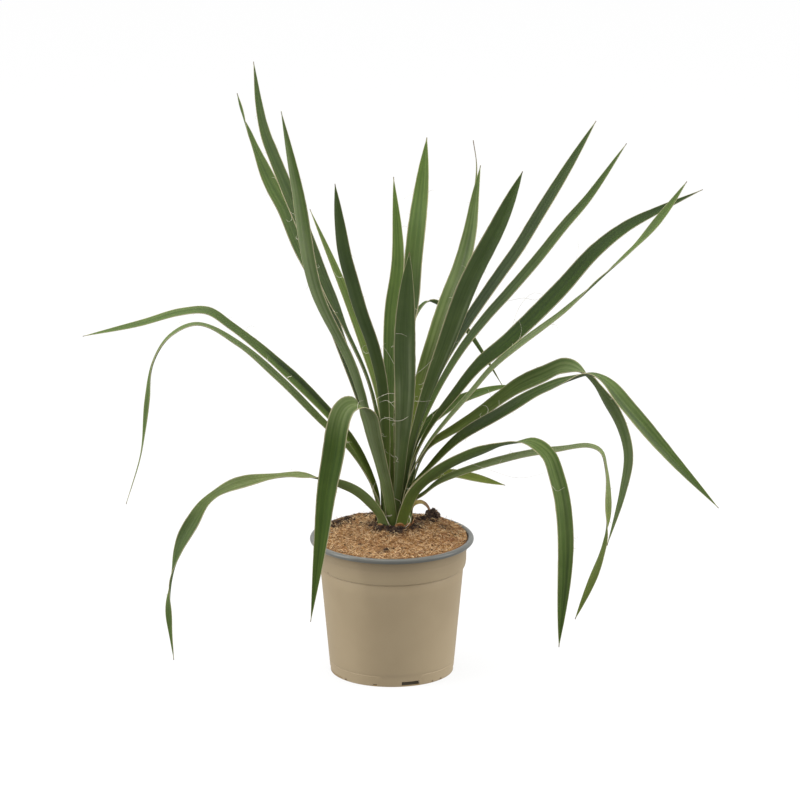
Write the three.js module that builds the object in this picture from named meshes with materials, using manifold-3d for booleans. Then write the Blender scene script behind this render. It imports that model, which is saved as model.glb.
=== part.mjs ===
// Potted Adam's needle (Yucca filamentosa) in a round nursery pot.
// Millimetres, +Z up. The origin is the centre of the pot's underside, where it stands.

import * as THREE from 'three';
import { mergeVertices } from 'three/addons/utils/BufferGeometryUtils.js';
import Module from 'manifold-3d';

const wasm = await Module();
wasm.setup();

// Driving dimensions of the pot
const potHeight = 161;
const rimRadius = 95;
const rimDepth = 6;
const rimInnerRadius = 88.4;
const bandRadius = 86.3;
const bandBottom = 133;
const stepHeight = 126;
const stepRadius = 83.2;
const footRadius = 71.5;
const wall = 1.6;
const floorTop = 9;
const padRadius = 26;
const padThickness = 2.5;
const potSides = 48;

// Drain notches in the foot: azimuth in degrees, width and height
const notchRise = 5.6;
const notches = [
  { azimuth: -72, width: 23 },
  { azimuth: 0, width: 23 },
  { azimuth: 72, width: 23 },
  { azimuth: 144, width: 23 },
  { azimuth: 180, width: 23 },
];
const smallNotchRise = 2.4;
const smallNotches = [
  { azimuth: -156, width: 32 },
  { azimuth: -138, width: 4 },
  { azimuth: -106, width: 6 },
  { azimuth: -49, width: 3 },
  { azimuth: -38, width: 4 },
];
const drainHoles = { count: 8, radius: 4.5, circle: 50 };

// Substrate, mulch and stem
const gap = 0.3;
const soilTop = 150;
const mulchEdge = 159.4;
const mulchCrown = 173;
const crownX = 3;
const crownY = 15;
const stumpRadius = 20.5;
const stumpBottom = 118;
const stumpTop = 172;
const relief = 1.6;
const moundReach = 60;
const heap = { height: 5.6, azimuth: 115, spread: 55 };
const knoll = { height: 4.5, x: 44, y: 52, reach: 13 };
const clodRelief = 0.15;

// Leaves: rings of seats on the stump, from the outside in
const seatRings = [19, 15.2, 11.4, 7.6, 3.8];
const seatThickness = 1.8;
const bladeThickness = 1.4;
const tipThickness = 0.7;
const marginShare = 0.6;
const bladeFold = 0.13;
const bladeSteps = 26;
const waveTurns = 5;
const tipWidth = 0.9;

const radians = THREE.MathUtils.degToRad;

// The shortest turn from one azimuth to another, in degrees
const turnBetween = (from, to) => ((to - from + 540) % 360) - 180;

// Finishes
const finish = (color, roughness) => new THREE.MeshStandardMaterial({ color, roughness, metalness: 0 });
const potPlastic = finish(0xa39678, 0.55);
const peat = finish(0x2c1d12, 0.95);
const coir = finish(0xb98f5f, 0.95);
const bark = finish(0x8a5a2c, 0.85);
const leafGreen = finish(0x3c5f2c, 0.5);
const deadLeaf = finish(0x9a7f3e, 0.8);

const part = new THREE.Group();

function addMesh(name, geometry, material) {
  const mesh = new THREE.Mesh(geometry, material);
  mesh.name = name;
  part.add(mesh);
  return mesh;
}

// A closed geometry as a solid, and back
function solidOf(geometry) {
  const bare = geometry.clone();
  bare.deleteAttribute('normal');
  bare.deleteAttribute('uv');
  const merged = mergeVertices(bare, 1e-4);
  return new wasm.Manifold(new wasm.Mesh({
    numProp: 3,
    vertProperties: new Float32Array(merged.attributes.position.array),
    triVerts: new Uint32Array(merged.index.array),
  }));
}

function geometryOf(solid) {
  const mesh = solid.getMesh();
  const geometry = new THREE.BufferGeometry();
  geometry.setAttribute('position', new THREE.BufferAttribute(new Float32Array(mesh.vertProperties), 3));
  geometry.setIndex(new THREE.BufferAttribute(new Uint32Array(mesh.triVerts), 1));
  geometry.computeVertexNormals();
  return geometry;
}

// Turns a profile of [radius, height] pairs about the Z axis
function turned(profile, sides) {
  const points = profile.map(([radius, height]) => new THREE.Vector2(radius, height));
  const geometry = new THREE.LatheGeometry(points, sides);
  geometry.rotateX(Math.PI / 2);
  return geometry;
}

// A block that stands across the foot at an azimuth, from below the ground up to a height
function footBlock({ azimuth, width }, rise) {
  const depth = 10 * wall;
  const block = new THREE.BoxGeometry(depth, width, 2 * rise);
  block.translate(footRadius, 0, 0);
  block.rotateZ(radians(azimuth));
  return block;
}

// Pot: one moulded piece with a rolled rim, a stepped band and a notched foot
function makePot() {
  const outside = [
    [0, 0],
    [padRadius, 0],
    [padRadius + 4, floorTop - padThickness],
    [footRadius - 6, floorTop - padThickness],
    [footRadius - 3.5, 0],
    [footRadius, 0],
    [stepRadius, stepHeight],
    [bandRadius, bandBottom],
    [bandRadius + 0.3, potHeight - rimDepth],
    [rimRadius - 2, potHeight - rimDepth],
    [rimRadius, potHeight - rimDepth + 2.4],
    [rimRadius - 0.8, potHeight - 1.4],
    [rimRadius - 3, potHeight],
    [rimInnerRadius + 1, potHeight - 0.6],
    [rimInnerRadius, potHeight - 2.4],
  ];
  const inside = [
    [bandRadius - wall, bandBottom + 2],
    [stepRadius - wall, stepHeight - 1],
    [footRadius - wall + 0.6, floorTop],
    [padRadius + 5, floorTop],
    [padRadius + 1, padThickness],
    [0, padThickness],
  ];
  let solid = solidOf(turned([...outside, ...inside], potSides));
  for (const notch of notches) solid = solid.subtract(solidOf(footBlock(notch, notchRise)));
  for (const notch of smallNotches) solid = solid.subtract(solidOf(footBlock(notch, smallNotchRise)));
  for (let i = 0; i < drainHoles.count; i += 1) {
    const hole = new THREE.CylinderGeometry(drainHoles.radius, drainHoles.radius, 3 * floorTop, 12);
    hole.rotateX(Math.PI / 2);
    hole.translate(drainHoles.circle, 0, floorTop);
    hole.rotateZ((i + 0.5) * 2 * Math.PI / drainHoles.count);
    solid = solid.subtract(solidOf(hole));
  }
  addMesh('pot', geometryOf(solid), potPlastic);
}

const stumpBore = stumpRadius + 2 * gap;

function plainHole(radius, bottom, top) {
  const hole = new THREE.CylinderGeometry(radius, radius, top - bottom, 40);
  hole.rotateX(Math.PI / 2);
  hole.translate(crownX, crownY, (top + bottom) / 2);
  return solidOf(hole);
}

// Peat-based substrate that fills the pot, with a plain hole for the stump
function makeSoil() {
  const bottom = floorTop + gap;
  const innerFoot = footRadius - wall + 0.6 - 2 * gap;
  const innerStep = stepRadius - wall - 2 * gap;
  const innerBand = bandRadius - wall - 2 * gap;
  const profile = [
    [0, bottom],
    [innerFoot, bottom],
    [innerStep, stepHeight - 1],
    [innerBand, bandBottom + 2.5],
    [innerBand + 0.8, soilTop],
    [0, soilTop],
  ];
  const soil = solidOf(turned(profile, potSides / 2));
  return soil.subtract(plainHole(stumpBore, stumpBottom - gap, soilTop + 5));
}

// Height of the mulch over a point: a low mound toward the stump, with clumps, a knoll behind the stump
// and a heap against the back of the rim
function mulchHeight(x, y) {
  const fromCrown = Math.hypot(x - crownX, y - crownY);
  const fromMiddle = Math.hypot(x, y) / rimInnerRadius;
  const reach = Math.exp(-((fromCrown / moundReach) ** 2));
  const mound = (mulchCrown - mulchEdge) * (1 - fromMiddle ** 2) * reach;
  const broad = Math.sin(x * 0.21 + 1.3) * Math.cos(y * 0.19 - 0.4);
  const clumps = broad + 0.6 * Math.sin(x * 0.47 - y * 0.39);
  const turn = turnBetween(heap.azimuth, Math.atan2(y, x) * 180 / Math.PI);
  const heaped = heap.height * Math.exp(-((turn / heap.spread) ** 2)) * fromMiddle ** 3;
  const raised = knoll.height * Math.exp(-((Math.hypot(x - knoll.x, y - knoll.y) / knoll.reach) ** 2));
  return mulchEdge + mound + heaped + raised + relief * 0.6 * clumps * (1 - 0.6 * fromMiddle ** 4);
}

// Coir mulch: a fibrous layer over the substrate, lumpy on top
function makeMulch() {
  const rings = 9;
  const sides = 36;
  const outer = rimInnerRadius - 2.6;
  const under = soilTop + gap;
  const positions = [];
  const faces = [];
  const inner = stumpBore + gap;
  for (let ring = 0; ring <= rings; ring += 1) {
    for (let side = 0; side < sides; side += 1) {
      const angle = side * 2 * Math.PI / sides;
      const share = ring / rings;
      const x = Math.cos(angle) * (inner + (outer - inner) * share) + crownX * (1 - share);
      const y = Math.sin(angle) * (inner + (outer - inner) * share) + crownY * (1 - share);
      positions.push(x, y, mulchHeight(x, y));
      positions.push(x, y, under);
    }
  }
  const at = (ring, side, low) => 2 * (ring * sides + (side % sides)) + low;
  for (let side = 0; side < sides; side += 1) {
    for (let ring = 0; ring < rings; ring += 1) {
      const [a, b] = [at(ring, side, 0), at(ring + 1, side, 0)];
      const [c, d] = [at(ring + 1, side + 1, 0), at(ring, side + 1, 0)];
      faces.push(a, b, c, a, c, d);
      faces.push(a + 1, c + 1, b + 1, a + 1, d + 1, c + 1);
    }
    const [a, b] = [at(rings, side, 0), at(rings, side + 1, 0)];
    faces.push(a, a + 1, b + 1, a, b + 1, b);
    const [c, d] = [at(0, side, 0), at(0, side + 1, 0)];
    faces.push(c, d + 1, c + 1, c, d, d + 1);
  }
  const geometry = new THREE.BufferGeometry();
  geometry.setAttribute('position', new THREE.Float32BufferAttribute(positions, 3));
  geometry.setIndex(faces);
  geometry.computeVertexNormals();
  return geometry;
}

// Stump: the short woody stem that the leaf bases sit on
function makeStump() {
  const profile = [
    [0, stumpBottom],
    [stumpRadius * 0.55, stumpBottom],
    [stumpRadius, stumpBottom + 14],
    [stumpRadius, stumpTop - 2],
    [stumpRadius - 1, stumpTop],
    [0, stumpTop],
  ];
  const geometry = turned(profile, 28);
  geometry.translate(crownX, crownY, 0);
  addMesh('stem_base', geometry, bark);
}

// A value part way along an evenly spaced list, eased between its entries
function along(list, share) {
  const place = Math.min(share, 0.99999) * (list.length - 1);
  const index = Math.floor(place);
  const ease = THREE.MathUtils.smoothstep(place - index, 0, 1);
  return list[index] + (list[index + 1] - list[index]) * ease;
}

// Blade width: it widens from the seat to the widest place and runs out to a point
function bladeWidth({ seatWidth, widest, peak, taper = 2.1 }, share) {
  if (share < peak) {
    const rise = Math.sin(Math.PI / 2 * share / peak) ** 2;
    return seatWidth + (widest - seatWidth) * rise;
  }
  const run = (share - peak) / (1 - peak);
  return Math.max(tipWidth, widest * (1 - run ** taper));
}

function bladeDepth(share) {
  const toBlade = THREE.MathUtils.smoothstep(share, 0, 0.3);
  const toTip = THREE.MathUtils.smoothstep(share, 0.6, 1);
  const blade = seatThickness + (bladeThickness - seatThickness) * toBlade;
  return blade + (tipThickness - blade) * toTip;
}

// A leaf follows its route from a seat on the stump. Its blade lies across the way it heads,
// turned about the route by roll, and is folded upwards along its middle.
function makeLeaf(leaf) {
  const ring = seatRings[leaf.ring];
  const seatAngle = radians(leaf.seat);
  const seat = [crownX + ring * Math.cos(seatAngle), crownY + ring * Math.sin(seatAngle), stumpTop + gap];
  const points = [seat, ...leaf.route].map((point) => new THREE.Vector3(...point));
  const curve = new THREE.CatmullRomCurve3(points);
  curve.arcLengthDivisions = 400;
  const tip = points[points.length - 1];
  const heading = Math.atan2(tip.y - crownY, tip.x - crownX) * 180 / Math.PI;
  const turn = turnBetween(leaf.seat, leaf.heading ?? heading);
  const positions = [];
  const steps = leaf.steps ?? bladeSteps;
  for (let step = 0; step <= steps; step += 1) {
    const share = step / steps;
    const centre = curve.getPointAt(share);
    const forward = step === 0 ? new THREE.Vector3(0, 0, 1) : curve.getTangentAt(share);
    const facing = radians(leaf.seat + turn * THREE.MathUtils.smoothstep(share, 0, 0.3));
    const across = new THREE.Vector3(-Math.sin(facing), Math.cos(facing), 0);
    across.addScaledVector(forward, -across.dot(forward)).normalize();
    const roll = radians(along(leaf.roll, share));
    across.applyAxisAngle(forward, roll);
    const upper = new THREE.Vector3().crossVectors(forward, across);
    const half = bladeWidth(leaf, share) / 2;
    const seatLift = half * half / (2 * ring);
    const bladeLift = 2 * half * (leaf.fold ?? bladeFold);
    const lift = seatLift + (bladeLift - seatLift) * THREE.MathUtils.smoothstep(share, 0, 0.25);
    const swell = Math.sin(share * Math.PI);
    const wave = (leaf.wave ?? 0) * Math.sin(share * waveTurns * 2 * Math.PI) * swell;
    const depth = bladeDepth(share) / 2;
    const margin = depth * marginShare;
    const section = [
      [-half, lift + wave + margin], [0, depth],
      [half, lift - wave + margin], [half, lift - wave - margin],
      [0, -depth], [-half, lift + wave - margin],
    ];
    for (const [sideways, high] of section) {
      const point = centre.clone().addScaledVector(across, sideways).addScaledVector(upper, high - lift / 2);
      positions.push(point.x, point.y, point.z);
    }
  }
  return bladeGeometry(positions, 6);
}

// Joins the sections of a blade, with its two faces split alike
function bladeGeometry(positions, around) {
  const sections = positions.length / 3 / around;
  const faces = [];
  for (let step = 0; step < sections - 1; step += 1) {
    for (let i = 0; i < around; i += 1) {
      const next = (i + 1) % around;
      const [a, b] = [step * around + i, step * around + next];
      const [c, d] = [b + around, a + around];
      if (i < around / 2) faces.push(a, c, b, a, d, c);
      else faces.push(a, d, b, b, d, c);
    }
  }
  const last = (sections - 1) * around;
  for (const [a, b, c] of [[0, 5, 1], [1, 5, 4], [1, 4, 2], [2, 4, 3]]) {
    faces.push(a, c, b);
    faces.push(last + a, last + b, last + c);
  }
  const geometry = new THREE.BufferGeometry();
  geometry.setAttribute('position', new THREE.Float32BufferAttribute(positions, 3));
  geometry.setIndex(faces);
  geometry.computeVertexNormals();
  return geometry;
}

// Every leaf: the ring and azimuth of its seat, its blade's widths and where it is widest, how far it is
// rolled at even steps along it, and the points of its route after the seat.
const hangingLeaves = [
  {
    name: 'leaf_left_high_arch', ring: 0, seat: 165, seatWidth: 11, widest: 15, peak: 0.5, taper: 3.6,
    roll: [0, -20, -30, -36, -44, -28, -18, -22, -28, -32, -30],
    route: [[-18, 22, 204], [-43, 28, 261], [-95, 38, 321], [-147, 47, 368], [-187, 55, 398],
      [-213, 60, 414], [-245, 66, 411], [-292, 72, 396], [-359, 78, 379]],
  },
  {
    name: 'leaf_left_hanging', ring: 0, seat: 204, seatWidth: 10, widest: 12, peak: 0.5,
    roll: [0, -20, -40, -45, -42, -26, -2, 12, -35, 5, -10],
    route: [[-16, 8, 201], [-48, 5, 263], [-83, -6, 303], [-128, -22, 355], [-176, -37, 402],
      [-222, -54, 430], [-253, -62, 418], [-272, -66, 389], [-279, -67, 344], [-287, -67, 280],
      [-305, -62, 218]],
  },
  {
    name: 'leaf_left_low_wavy', ring: 0, seat: 238, seatWidth: 11, widest: 19, peak: 0.6, wave: 2.3,
    roll: [0, 50, 44, -10, -20, -12, -32, -14, 18, -32, -32],
    route: [[-16, -4, 191], [-37, -6, 214], [-60, -8, 226], [-106, -14, 238], [-146, -24, 238],
      [-186, -36, 231], [-213, -46, 216], [-229, -52, 193], [-243, -56, 167], [-254, -58, 128],
      [-257, -60, 90], [-252, -60, 29]],
  },
  {
    name: 'leaf_front_folded', ring: 1, seat: 264, seatWidth: 12, widest: 26, peak: 0.55, taper: 1.5,
    steps: 40, roll: [0, 0, 5, 15, 15, -25, -30, -30, -30, -30, -30, -30, -30],
    route: [[-4, -6, 212], [-12, -18, 250], [-21, -38, 292], [-26, -52, 318], [-31, -60, 331.5],
      [-38, -66, 339], [-46.5, -72, 340.5], [-54, -78, 336.5], [-59.5, -84, 326], [-63, -88, 311],
      [-67, -92, 285], [-74, -98, 246], [-81, -105, 188], [-93, -112, 92]],
  },
  {
    name: 'leaf_front_right_hanging', ring: 0, seat: 292, seatWidth: 14, widest: 19, peak: 0.7,
    roll: [0, -15, -40, -45, -15, 32, 45, 45, 50, 50, 50],
    route: [[15, -6, 191], [26, -13, 218], [45, -20, 239], [70, -29, 258], [103, -41, 276],
      [136, -54, 289], [160, -66, 293], [179, -76, 281], [188, -82, 259], [195, -90, 231],
      [199, -98, 180], [192, -104, 59]],
  },
  {
    name: 'leaf_right_thin_hanging', ring: 0, seat: 334, seatWidth: 9, widest: 12, peak: 0.85,
    roll: [0, 25, 48, 48, 34, 14, -5, 25, -35, -60, -60],
    route: [[22, 5, 198], [38, 2, 212], [56, 0, 227], [90, -2, 242], [148, -6, 260], [194, -12, 269],
      [228, -20, 275], [241, -23, 269], [247, -26, 248], [249, -31, 213], [248, -34, 178],
      [240, -36, 143], [212, -40, 72]],
  },
  {
    name: 'leaf_right_long_arch', ring: 1, seat: 310, seatWidth: 11.4, widest: 20, peak: 0.65,
    roll: [0, 30, 46, 52, 46, 26, -12, 30, 46, 48, 48],
    route: [[20, -6, 218], [42, -8, 244.5], [78, -22, 286], [124, -42, 320.5], [169, -62, 353],
      [203, -76, 371], [226, -86, 380], [243, -94, 374], [268, -104, 347], [320, -116, 288],
      [372, -130, 234]],
  },
  {
    name: 'leaf_right_drooping', ring: 1, seat: 354, seatWidth: 9, widest: 23, peak: 0.55,
    steps: 34, roll: [0, 5, 8, 32, 42, 42, 50, 38, -35, -58, -55, -55, -55, -55],
    route: [[21, 11.5, 210], [26, 6, 230], [31.5, 1.5, 248], [40.5, 0.5, 265], [51, 1, 275.5],
      [67, 0, 286], [96, -6, 306], [124, -14, 330], [147, -20, 348], [174, -28, 363], [198, -32, 374],
      [221, -36, 367], [244, -38, 339], [262, -42, 308], [271, -46, 272], [265, -48, 228],
      [248, -52, 165]],
  },
  {
    name: 'leaf_back_right_short', ring: 0, seat: 10, seatWidth: 8, widest: 14, peak: 0.72, taper: 1.7,
    roll: [0, 30, 30],
    route: [[26, 22, 200], [44, 25, 222], [64, 30, 227], [91, 40, 220], [132, 56, 205]],
  },
  {
    name: 'leaf_back_thin_arch', ring: 1, seat: 74, seatWidth: 8, widest: 8, peak: 0.6,
    roll: [0, 0, -10, -40, -40],
    route: [[9, 66, 248], [17, 112, 330], [26, 132, 386], [42, 138, 405], [57, 143, 400],
      [74, 150, 385], [90, 158, 362], [108, 166, 332], [131, 175, 290]],
  },
  {
    name: 'leaf_back_arch', ring: 0, seat: 102, seatWidth: 11, widest: 22, peak: 0.55,
    roll: [0, 0, 0],
    route: [[-4, 50, 207], [4, 112, 280], [9, 190, 318], [8, 262, 285], [4, 300, 215], [0, 318, 150]],
  },
  {
    name: 'leaf_back_low_arch', ring: 0, seat: 62, seatWidth: 10, widest: 20, peak: 0.55,
    roll: [0, 0, 0],
    route: [[14, 44, 194], [18, 86, 212], [20, 142, 222], [20, 205, 204], [20, 240, 168]],
  },
];

const standingLeaves = [
  {
    name: 'leaf_front_upright', ring: 2, seat: 259, seatWidth: 8.5, widest: 25, peak: 0.6, taper: 2.5,
    roll: [0, 0, 0],
    route: [[7, 0, 216], [11, -14, 269], [15, -40, 336], [15, -72, 416], [17, -98, 480],
      [20, -118, 532]],
  },
  {
    name: 'leaf_left_grey', ring: 1, seat: 215, seatWidth: 8, widest: 20, peak: 0.72, taper: 1.9,
    roll: [0, 10, 10, 10],
    route: [[-11, 4, 220], [-23, -12, 285], [-45, -34, 372], [-87, -58, 472], [-107, -86, 596],
      [-124, -104, 692]],
  },
  {
    name: 'leaf_left_outer_tall', ring: 1, seat: 150, seatWidth: 10, widest: 24, peak: 0.7, taper: 2.2,
    roll: [0, -10, -10, -10, -10, -10, -10, -10, -10, 12, 90],
    route: [[-12, 33, 235], [-37, 55, 311], [-61, 70, 376], [-84, 85, 437], [-108, 93, 484],
      [-125, 101, 525], [-140, 107, 552], [-157, 115, 591], [-170, 122, 625], [-179, 128, 657]],
  },
  {
    name: 'leaf_left_tallest', ring: 2, seat: 160, seatWidth: 9, widest: 20, peak: 0.76, taper: 3,
    roll: [0, 0, 5, 16, 15, -14, -20, -19, -13, -5, 0],
    route: [[-9, 24, 240], [-26, 36, 332], [-55, 42, 400], [-79, 46, 456], [-102, 56, 513],
      [-121, 64, 558], [-136, 72, 594], [-147, 78, 623], [-154, 84, 657], [-159, 92, 703]],
  },
  {
    name: 'leaf_left_thin', ring: 1, seat: 112, seatWidth: 8, widest: 13, peak: 0.5, taper: 2.6,
    roll: [0, 0, 0],
    route: [[-4, 48, 232], [-14, 88, 305], [-31, 115, 354], [-55, 145, 414], [-96, 180, 505]],
  },
  {
    name: 'leaf_left_dark', ring: 2, seat: 212, seatWidth: 8, widest: 20.5, peak: 0.68, taper: 2.6,
    roll: [0, 0, 0],
    route: [[-6, 0, 240], [-8, -12, 300], [-12, -20, 351], [-22, -29, 397], [-36, -40, 441],
      [-45, -48, 475], [-54, -58, 513], [-59, -68, 551], [-64, -84, 603]],
  },
  {
    name: 'leaf_back_upright', ring: 4, seat: 190, seatWidth: 6, widest: 16, peak: 0.65,
    roll: [0, 0, 0],
    route: [[-1, 26, 232], [-3, 64, 324], [-1, 96, 400], [7, 118, 460], [2, 156, 550]],
  },
  {
    name: 'leaf_back_upright_wide', ring: 3, seat: 122, seatWidth: 8, widest: 21.5, peak: 0.7, taper: 2.6,
    roll: [0, 0, 0],
    route: [[4, 40, 234], [11, 68, 320], [15, 84, 373], [22, 112, 413], [25, 136, 453], [29, 156, 487],
      [34, 186, 522], [41, 222, 581]],
  },
  {
    name: 'leaf_back_right_dry_tip', ring: 2, seat: 92, seatWidth: 8, widest: 11, peak: 0.45, taper: 1,
    roll: [0, 20, 20],
    route: [[17, 42, 231], [35, 74, 316], [49, 94, 372], [63, 120, 408], [79, 142, 446], [89, 158, 484],
      [96, 173, 522], [99, 185, 556], [95, 192, 585]],
  },
  {
    name: 'leaf_right_upright', ring: 4, seat: 60, seatWidth: 6, widest: 22, peak: 0.55, taper: 2.6,
    roll: [0, 20, 20],
    route: [[12, 29, 243], [34, 56, 326], [51, 66, 379], [65, 84, 418], [81, 106, 456], [91, 120, 494],
      [97, 131, 533], [103, 140, 568]],
  },
  {
    name: 'leaf_right_dark_wide', ring: 3, seat: 280, seatWidth: 6, widest: 28.5, peak: 0.68, taper: 2.9,
    roll: [0, -25, -25],
    route: [[18, 4, 249], [36, -8, 320], [63, -26, 400], [89, -46, 477], [121, -64, 548],
      [148, -82, 617]],
  },
  {
    name: 'leaf_right_outer_tall', ring: 3, seat: 34, seatWidth: 6, widest: 17, peak: 0.68, taper: 2.8,
    roll: [0, 25, 25, 30],
    route: [[18, 21, 235], [38, 26, 314], [62, 27, 368], [90, 30, 414], [124, 41, 462], [146, 52, 491],
      [170, 66, 528], [195, 84, 565], [236, 108, 629]],
  },
  {
    name: 'leaf_right_tall_folded', ring: 3, seat: 338, seatWidth: 6, widest: 14, peak: 0.6, taper: 3.4,
    roll: [0, 40, 50, 50],
    route: [[22, 13, 251], [48, 9, 324], [79, 6, 381], [109, 5, 422], [134, 2, 452], [166, -3, 492],
      [198, -8, 535], [224, -14, 568], [267, -24, 635]],
  },
  {
    name: 'leaf_right_broad', ring: 2, seat: 348, seatWidth: 7, widest: 24, peak: 0.55,
    roll: [0, 45, 55, 50],
    route: [[24, 5, 246], [46, -1, 295], [72, -6, 332], [101, -14, 371], [130, -26, 399],
      [164, -42, 437], [195, -56, 474], [231, -74, 521], [266, -92, 555], [301, -106, 578],
      [350, -118, 605]],
  },
  {
    name: 'leaf_right_front_pale', ring: 2, seat: 303, seatWidth: 6.5, widest: 12, peak: 0.88, taper: 2,
    roll: [0, 30, 45, 50, 50, 50, 35, 0, 25, 60, 60],
    route: [[21, -2, 232], [40, -11, 272], [64, -19, 307], [89, -26, 339], [116, -34, 374],
      [148, -48, 406], [197, -68, 450], [238, -88, 495], [276, -114, 539], [307, -132, 582],
      [331, -144, 621]],
  },
  {
    name: 'leaf_right_short', ring: 2, seat: 50, seatWidth: 6, widest: 13, peak: 0.6,
    roll: [0, 20, 36, 40, 30],
    route: [[16, 30, 216], [20.5, 31, 242], [24.5, 28.5, 257], [28.5, 27, 270], [36, 28.5, 282],
      [46, 30, 292], [61, 30, 304], [76, 31, 314.5], [96, 35, 321.5], [125, 48, 326], [151, 54, 326]],
  },
  {
    name: 'leaf_back_right_inner', ring: 1, seat: 37, seatWidth: 8, widest: 9, peak: 0.5,
    roll: [0, 20, 20],
    route: [[19, 30, 205], [23, 36, 222], [28, 43, 243]],
  },
];

const leaves = [...hangingLeaves, ...standingLeaves];

// A dead leaf cut short, bent down into a clod of peat on the mulch
const deadLeafStub = {
  name: 'old_leaf_stub', ring: 0, seat: 36, seatWidth: 4.5, widest: 5.5, peak: 0.9, fold: 0.1,
  roll: [20, 50, 62],
  route: [[24, 32, 188], [32, 39, 190], [39, 48, 184.5], [44.5, 55, 175]],
};
const clodCentre = [47.7, 57, 167.4];
const clodSize = [8.2, 7, 8.4];

// Clod: a lump of peat, cut flat to the mulch that it lies on and clear of the stub
function makeClod(mulch, stub) {
  const geometry = new THREE.IcosahedronGeometry(1, 2);
  const place = geometry.attributes.position;
  for (let i = 0; i < place.count; i += 1) {
    const [x, y, z] = [place.getX(i), place.getY(i), place.getZ(i)];
    const waves = Math.sin(5 * x + 1) * Math.cos(4 * y) + 0.8 * Math.sin(6 * z + 2 * x);
    const lump = 1 + clodRelief * waves;
    place.setXYZ(i, x * lump * clodSize[0], y * lump * clodSize[1], z * lump * clodSize[2]);
  }
  geometry.translate(...clodCentre);
  let clod = solidOf(geometry);
  for (const drop of [0, 3, 6]) clod = clod.subtract(solidOf(mulch).translate([0, 0, gap - drop]));
  for (const axis of [0, 1, 2]) {
    for (const side of [-gap, gap]) {
      const shift = [0, 0, 0];
      shift[axis] = side;
      clod = clod.subtract(solidOf(stub).translate(shift));
    }
  }
  const pieces = clod.decompose().sort((a, b) => b.volume() - a.volume());
  return pieces[0];
}

makePot();
addMesh('potting_soil', geometryOf(makeSoil()), peat);
const mulchLayer = makeMulch();
addMesh('coir_mulch', mulchLayer, coir);
makeStump();
const stub = makeLeaf(deadLeafStub);
addMesh(deadLeafStub.name, stub, deadLeaf);
addMesh('peat_clod', geometryOf(makeClod(mulchLayer, stub)), peat);
for (const leaf of leaves) addMesh(leaf.name, makeLeaf(leaf), leafGreen);

export default part;
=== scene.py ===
import math
import bpy
import numpy as np
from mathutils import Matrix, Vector, noise


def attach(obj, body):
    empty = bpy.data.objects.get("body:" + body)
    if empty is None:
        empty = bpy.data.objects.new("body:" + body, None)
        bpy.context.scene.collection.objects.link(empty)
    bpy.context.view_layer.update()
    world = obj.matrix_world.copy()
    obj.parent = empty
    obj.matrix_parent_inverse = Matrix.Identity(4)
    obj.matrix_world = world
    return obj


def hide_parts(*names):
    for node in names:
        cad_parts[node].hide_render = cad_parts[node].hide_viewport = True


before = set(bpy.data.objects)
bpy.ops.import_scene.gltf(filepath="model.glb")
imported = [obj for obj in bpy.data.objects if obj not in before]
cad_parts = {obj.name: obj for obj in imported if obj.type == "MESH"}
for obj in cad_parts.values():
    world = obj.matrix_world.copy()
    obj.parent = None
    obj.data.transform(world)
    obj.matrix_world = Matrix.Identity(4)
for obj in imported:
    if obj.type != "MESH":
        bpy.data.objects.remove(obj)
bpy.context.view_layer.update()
mm = 0.001
print("frame loaded,", len(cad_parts), "nodes")

# camera at the photograph's angle
cameraSetup = {
    "target": (9.45, 0.0, 324.5),    # mm
    "elevation": 16.1,               # degrees above the horizon
    "distance": 8000.0,              # mm
    "lens": 312.4,                   # mm
    "sensor": 36,                    # mm
    "photo": 800,                    # pixels across and down the photograph
}


def addCamera(setup):
    lift = math.radians(setup["elevation"])
    away = setup["distance"]
    tx, ty, tz = setup["target"]
    data = bpy.data.cameras.new("studio_camera")
    data.lens = setup["lens"]
    data.sensor_width = setup["sensor"]
    data.clip_start = 0.1
    data.clip_end = 60
    cam = bpy.data.objects.new("studio_camera", data)
    cam.location = (tx * mm, (ty - away * math.cos(lift)) * mm, (tz + away * math.sin(lift)) * mm)
    cam.rotation_euler = (math.pi / 2 - lift, 0, 0)
    bpy.context.scene.collection.objects.link(cam)
    bpy.context.scene.camera = cam


addCamera(cameraSetup)


# small helpers for modelling and for node materials
def clearSelection():
    if bpy.context.object and bpy.context.object.mode != 'OBJECT':
        bpy.ops.object.mode_set(mode='OBJECT')
    bpy.ops.object.select_all(action='DESELECT')


def pointsOf(piece):
    co = np.zeros(len(piece.data.vertices) * 3)
    piece.data.vertices.foreach_get("co", co)
    return co.reshape(-1, 3)


def placePoints(piece, co):
    piece.data.vertices.foreach_set("co", np.ascontiguousarray(co, dtype=np.float32).ravel())
    piece.data.update()


def applyAll(piece):
    bpy.context.view_layer.objects.active = piece
    for mod in list(piece.modifiers):
        bpy.ops.object.modifier_apply(modifier=mod.name)


def shadeSmooth(piece, degrees):
    clearSelection()
    piece.select_set(True)
    bpy.context.view_layer.objects.active = piece
    bpy.ops.object.shade_smooth_by_angle(angle=math.radians(degrees))


def settle(piece, name, replaced=None):
    # the place goes into the mesh, the object stays at the origin
    piece.name = name
    piece.data.name = name
    clearSelection()
    piece.select_set(True)
    bpy.context.view_layer.objects.active = piece
    bpy.ops.object.transform_apply(location=True, rotation=True, scale=True)
    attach(piece, "root")
    if replaced:
        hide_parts(replaced)
    return piece


def smoothstep(x, low, high):
    t = np.clip((x - low) / (high - low), 0, 1)
    return t * t * (3 - 2 * t)


def along(values, share):
    # a value part way along an evenly spaced list, eased between its entries
    values = np.asarray(values, float)
    place = np.minimum(share, 0.99999) * (len(values) - 1)
    index = np.floor(place).astype(int)
    ease = smoothstep(place - index, 0, 1)
    return values[index] + (values[index + 1] - values[index]) * ease


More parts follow.
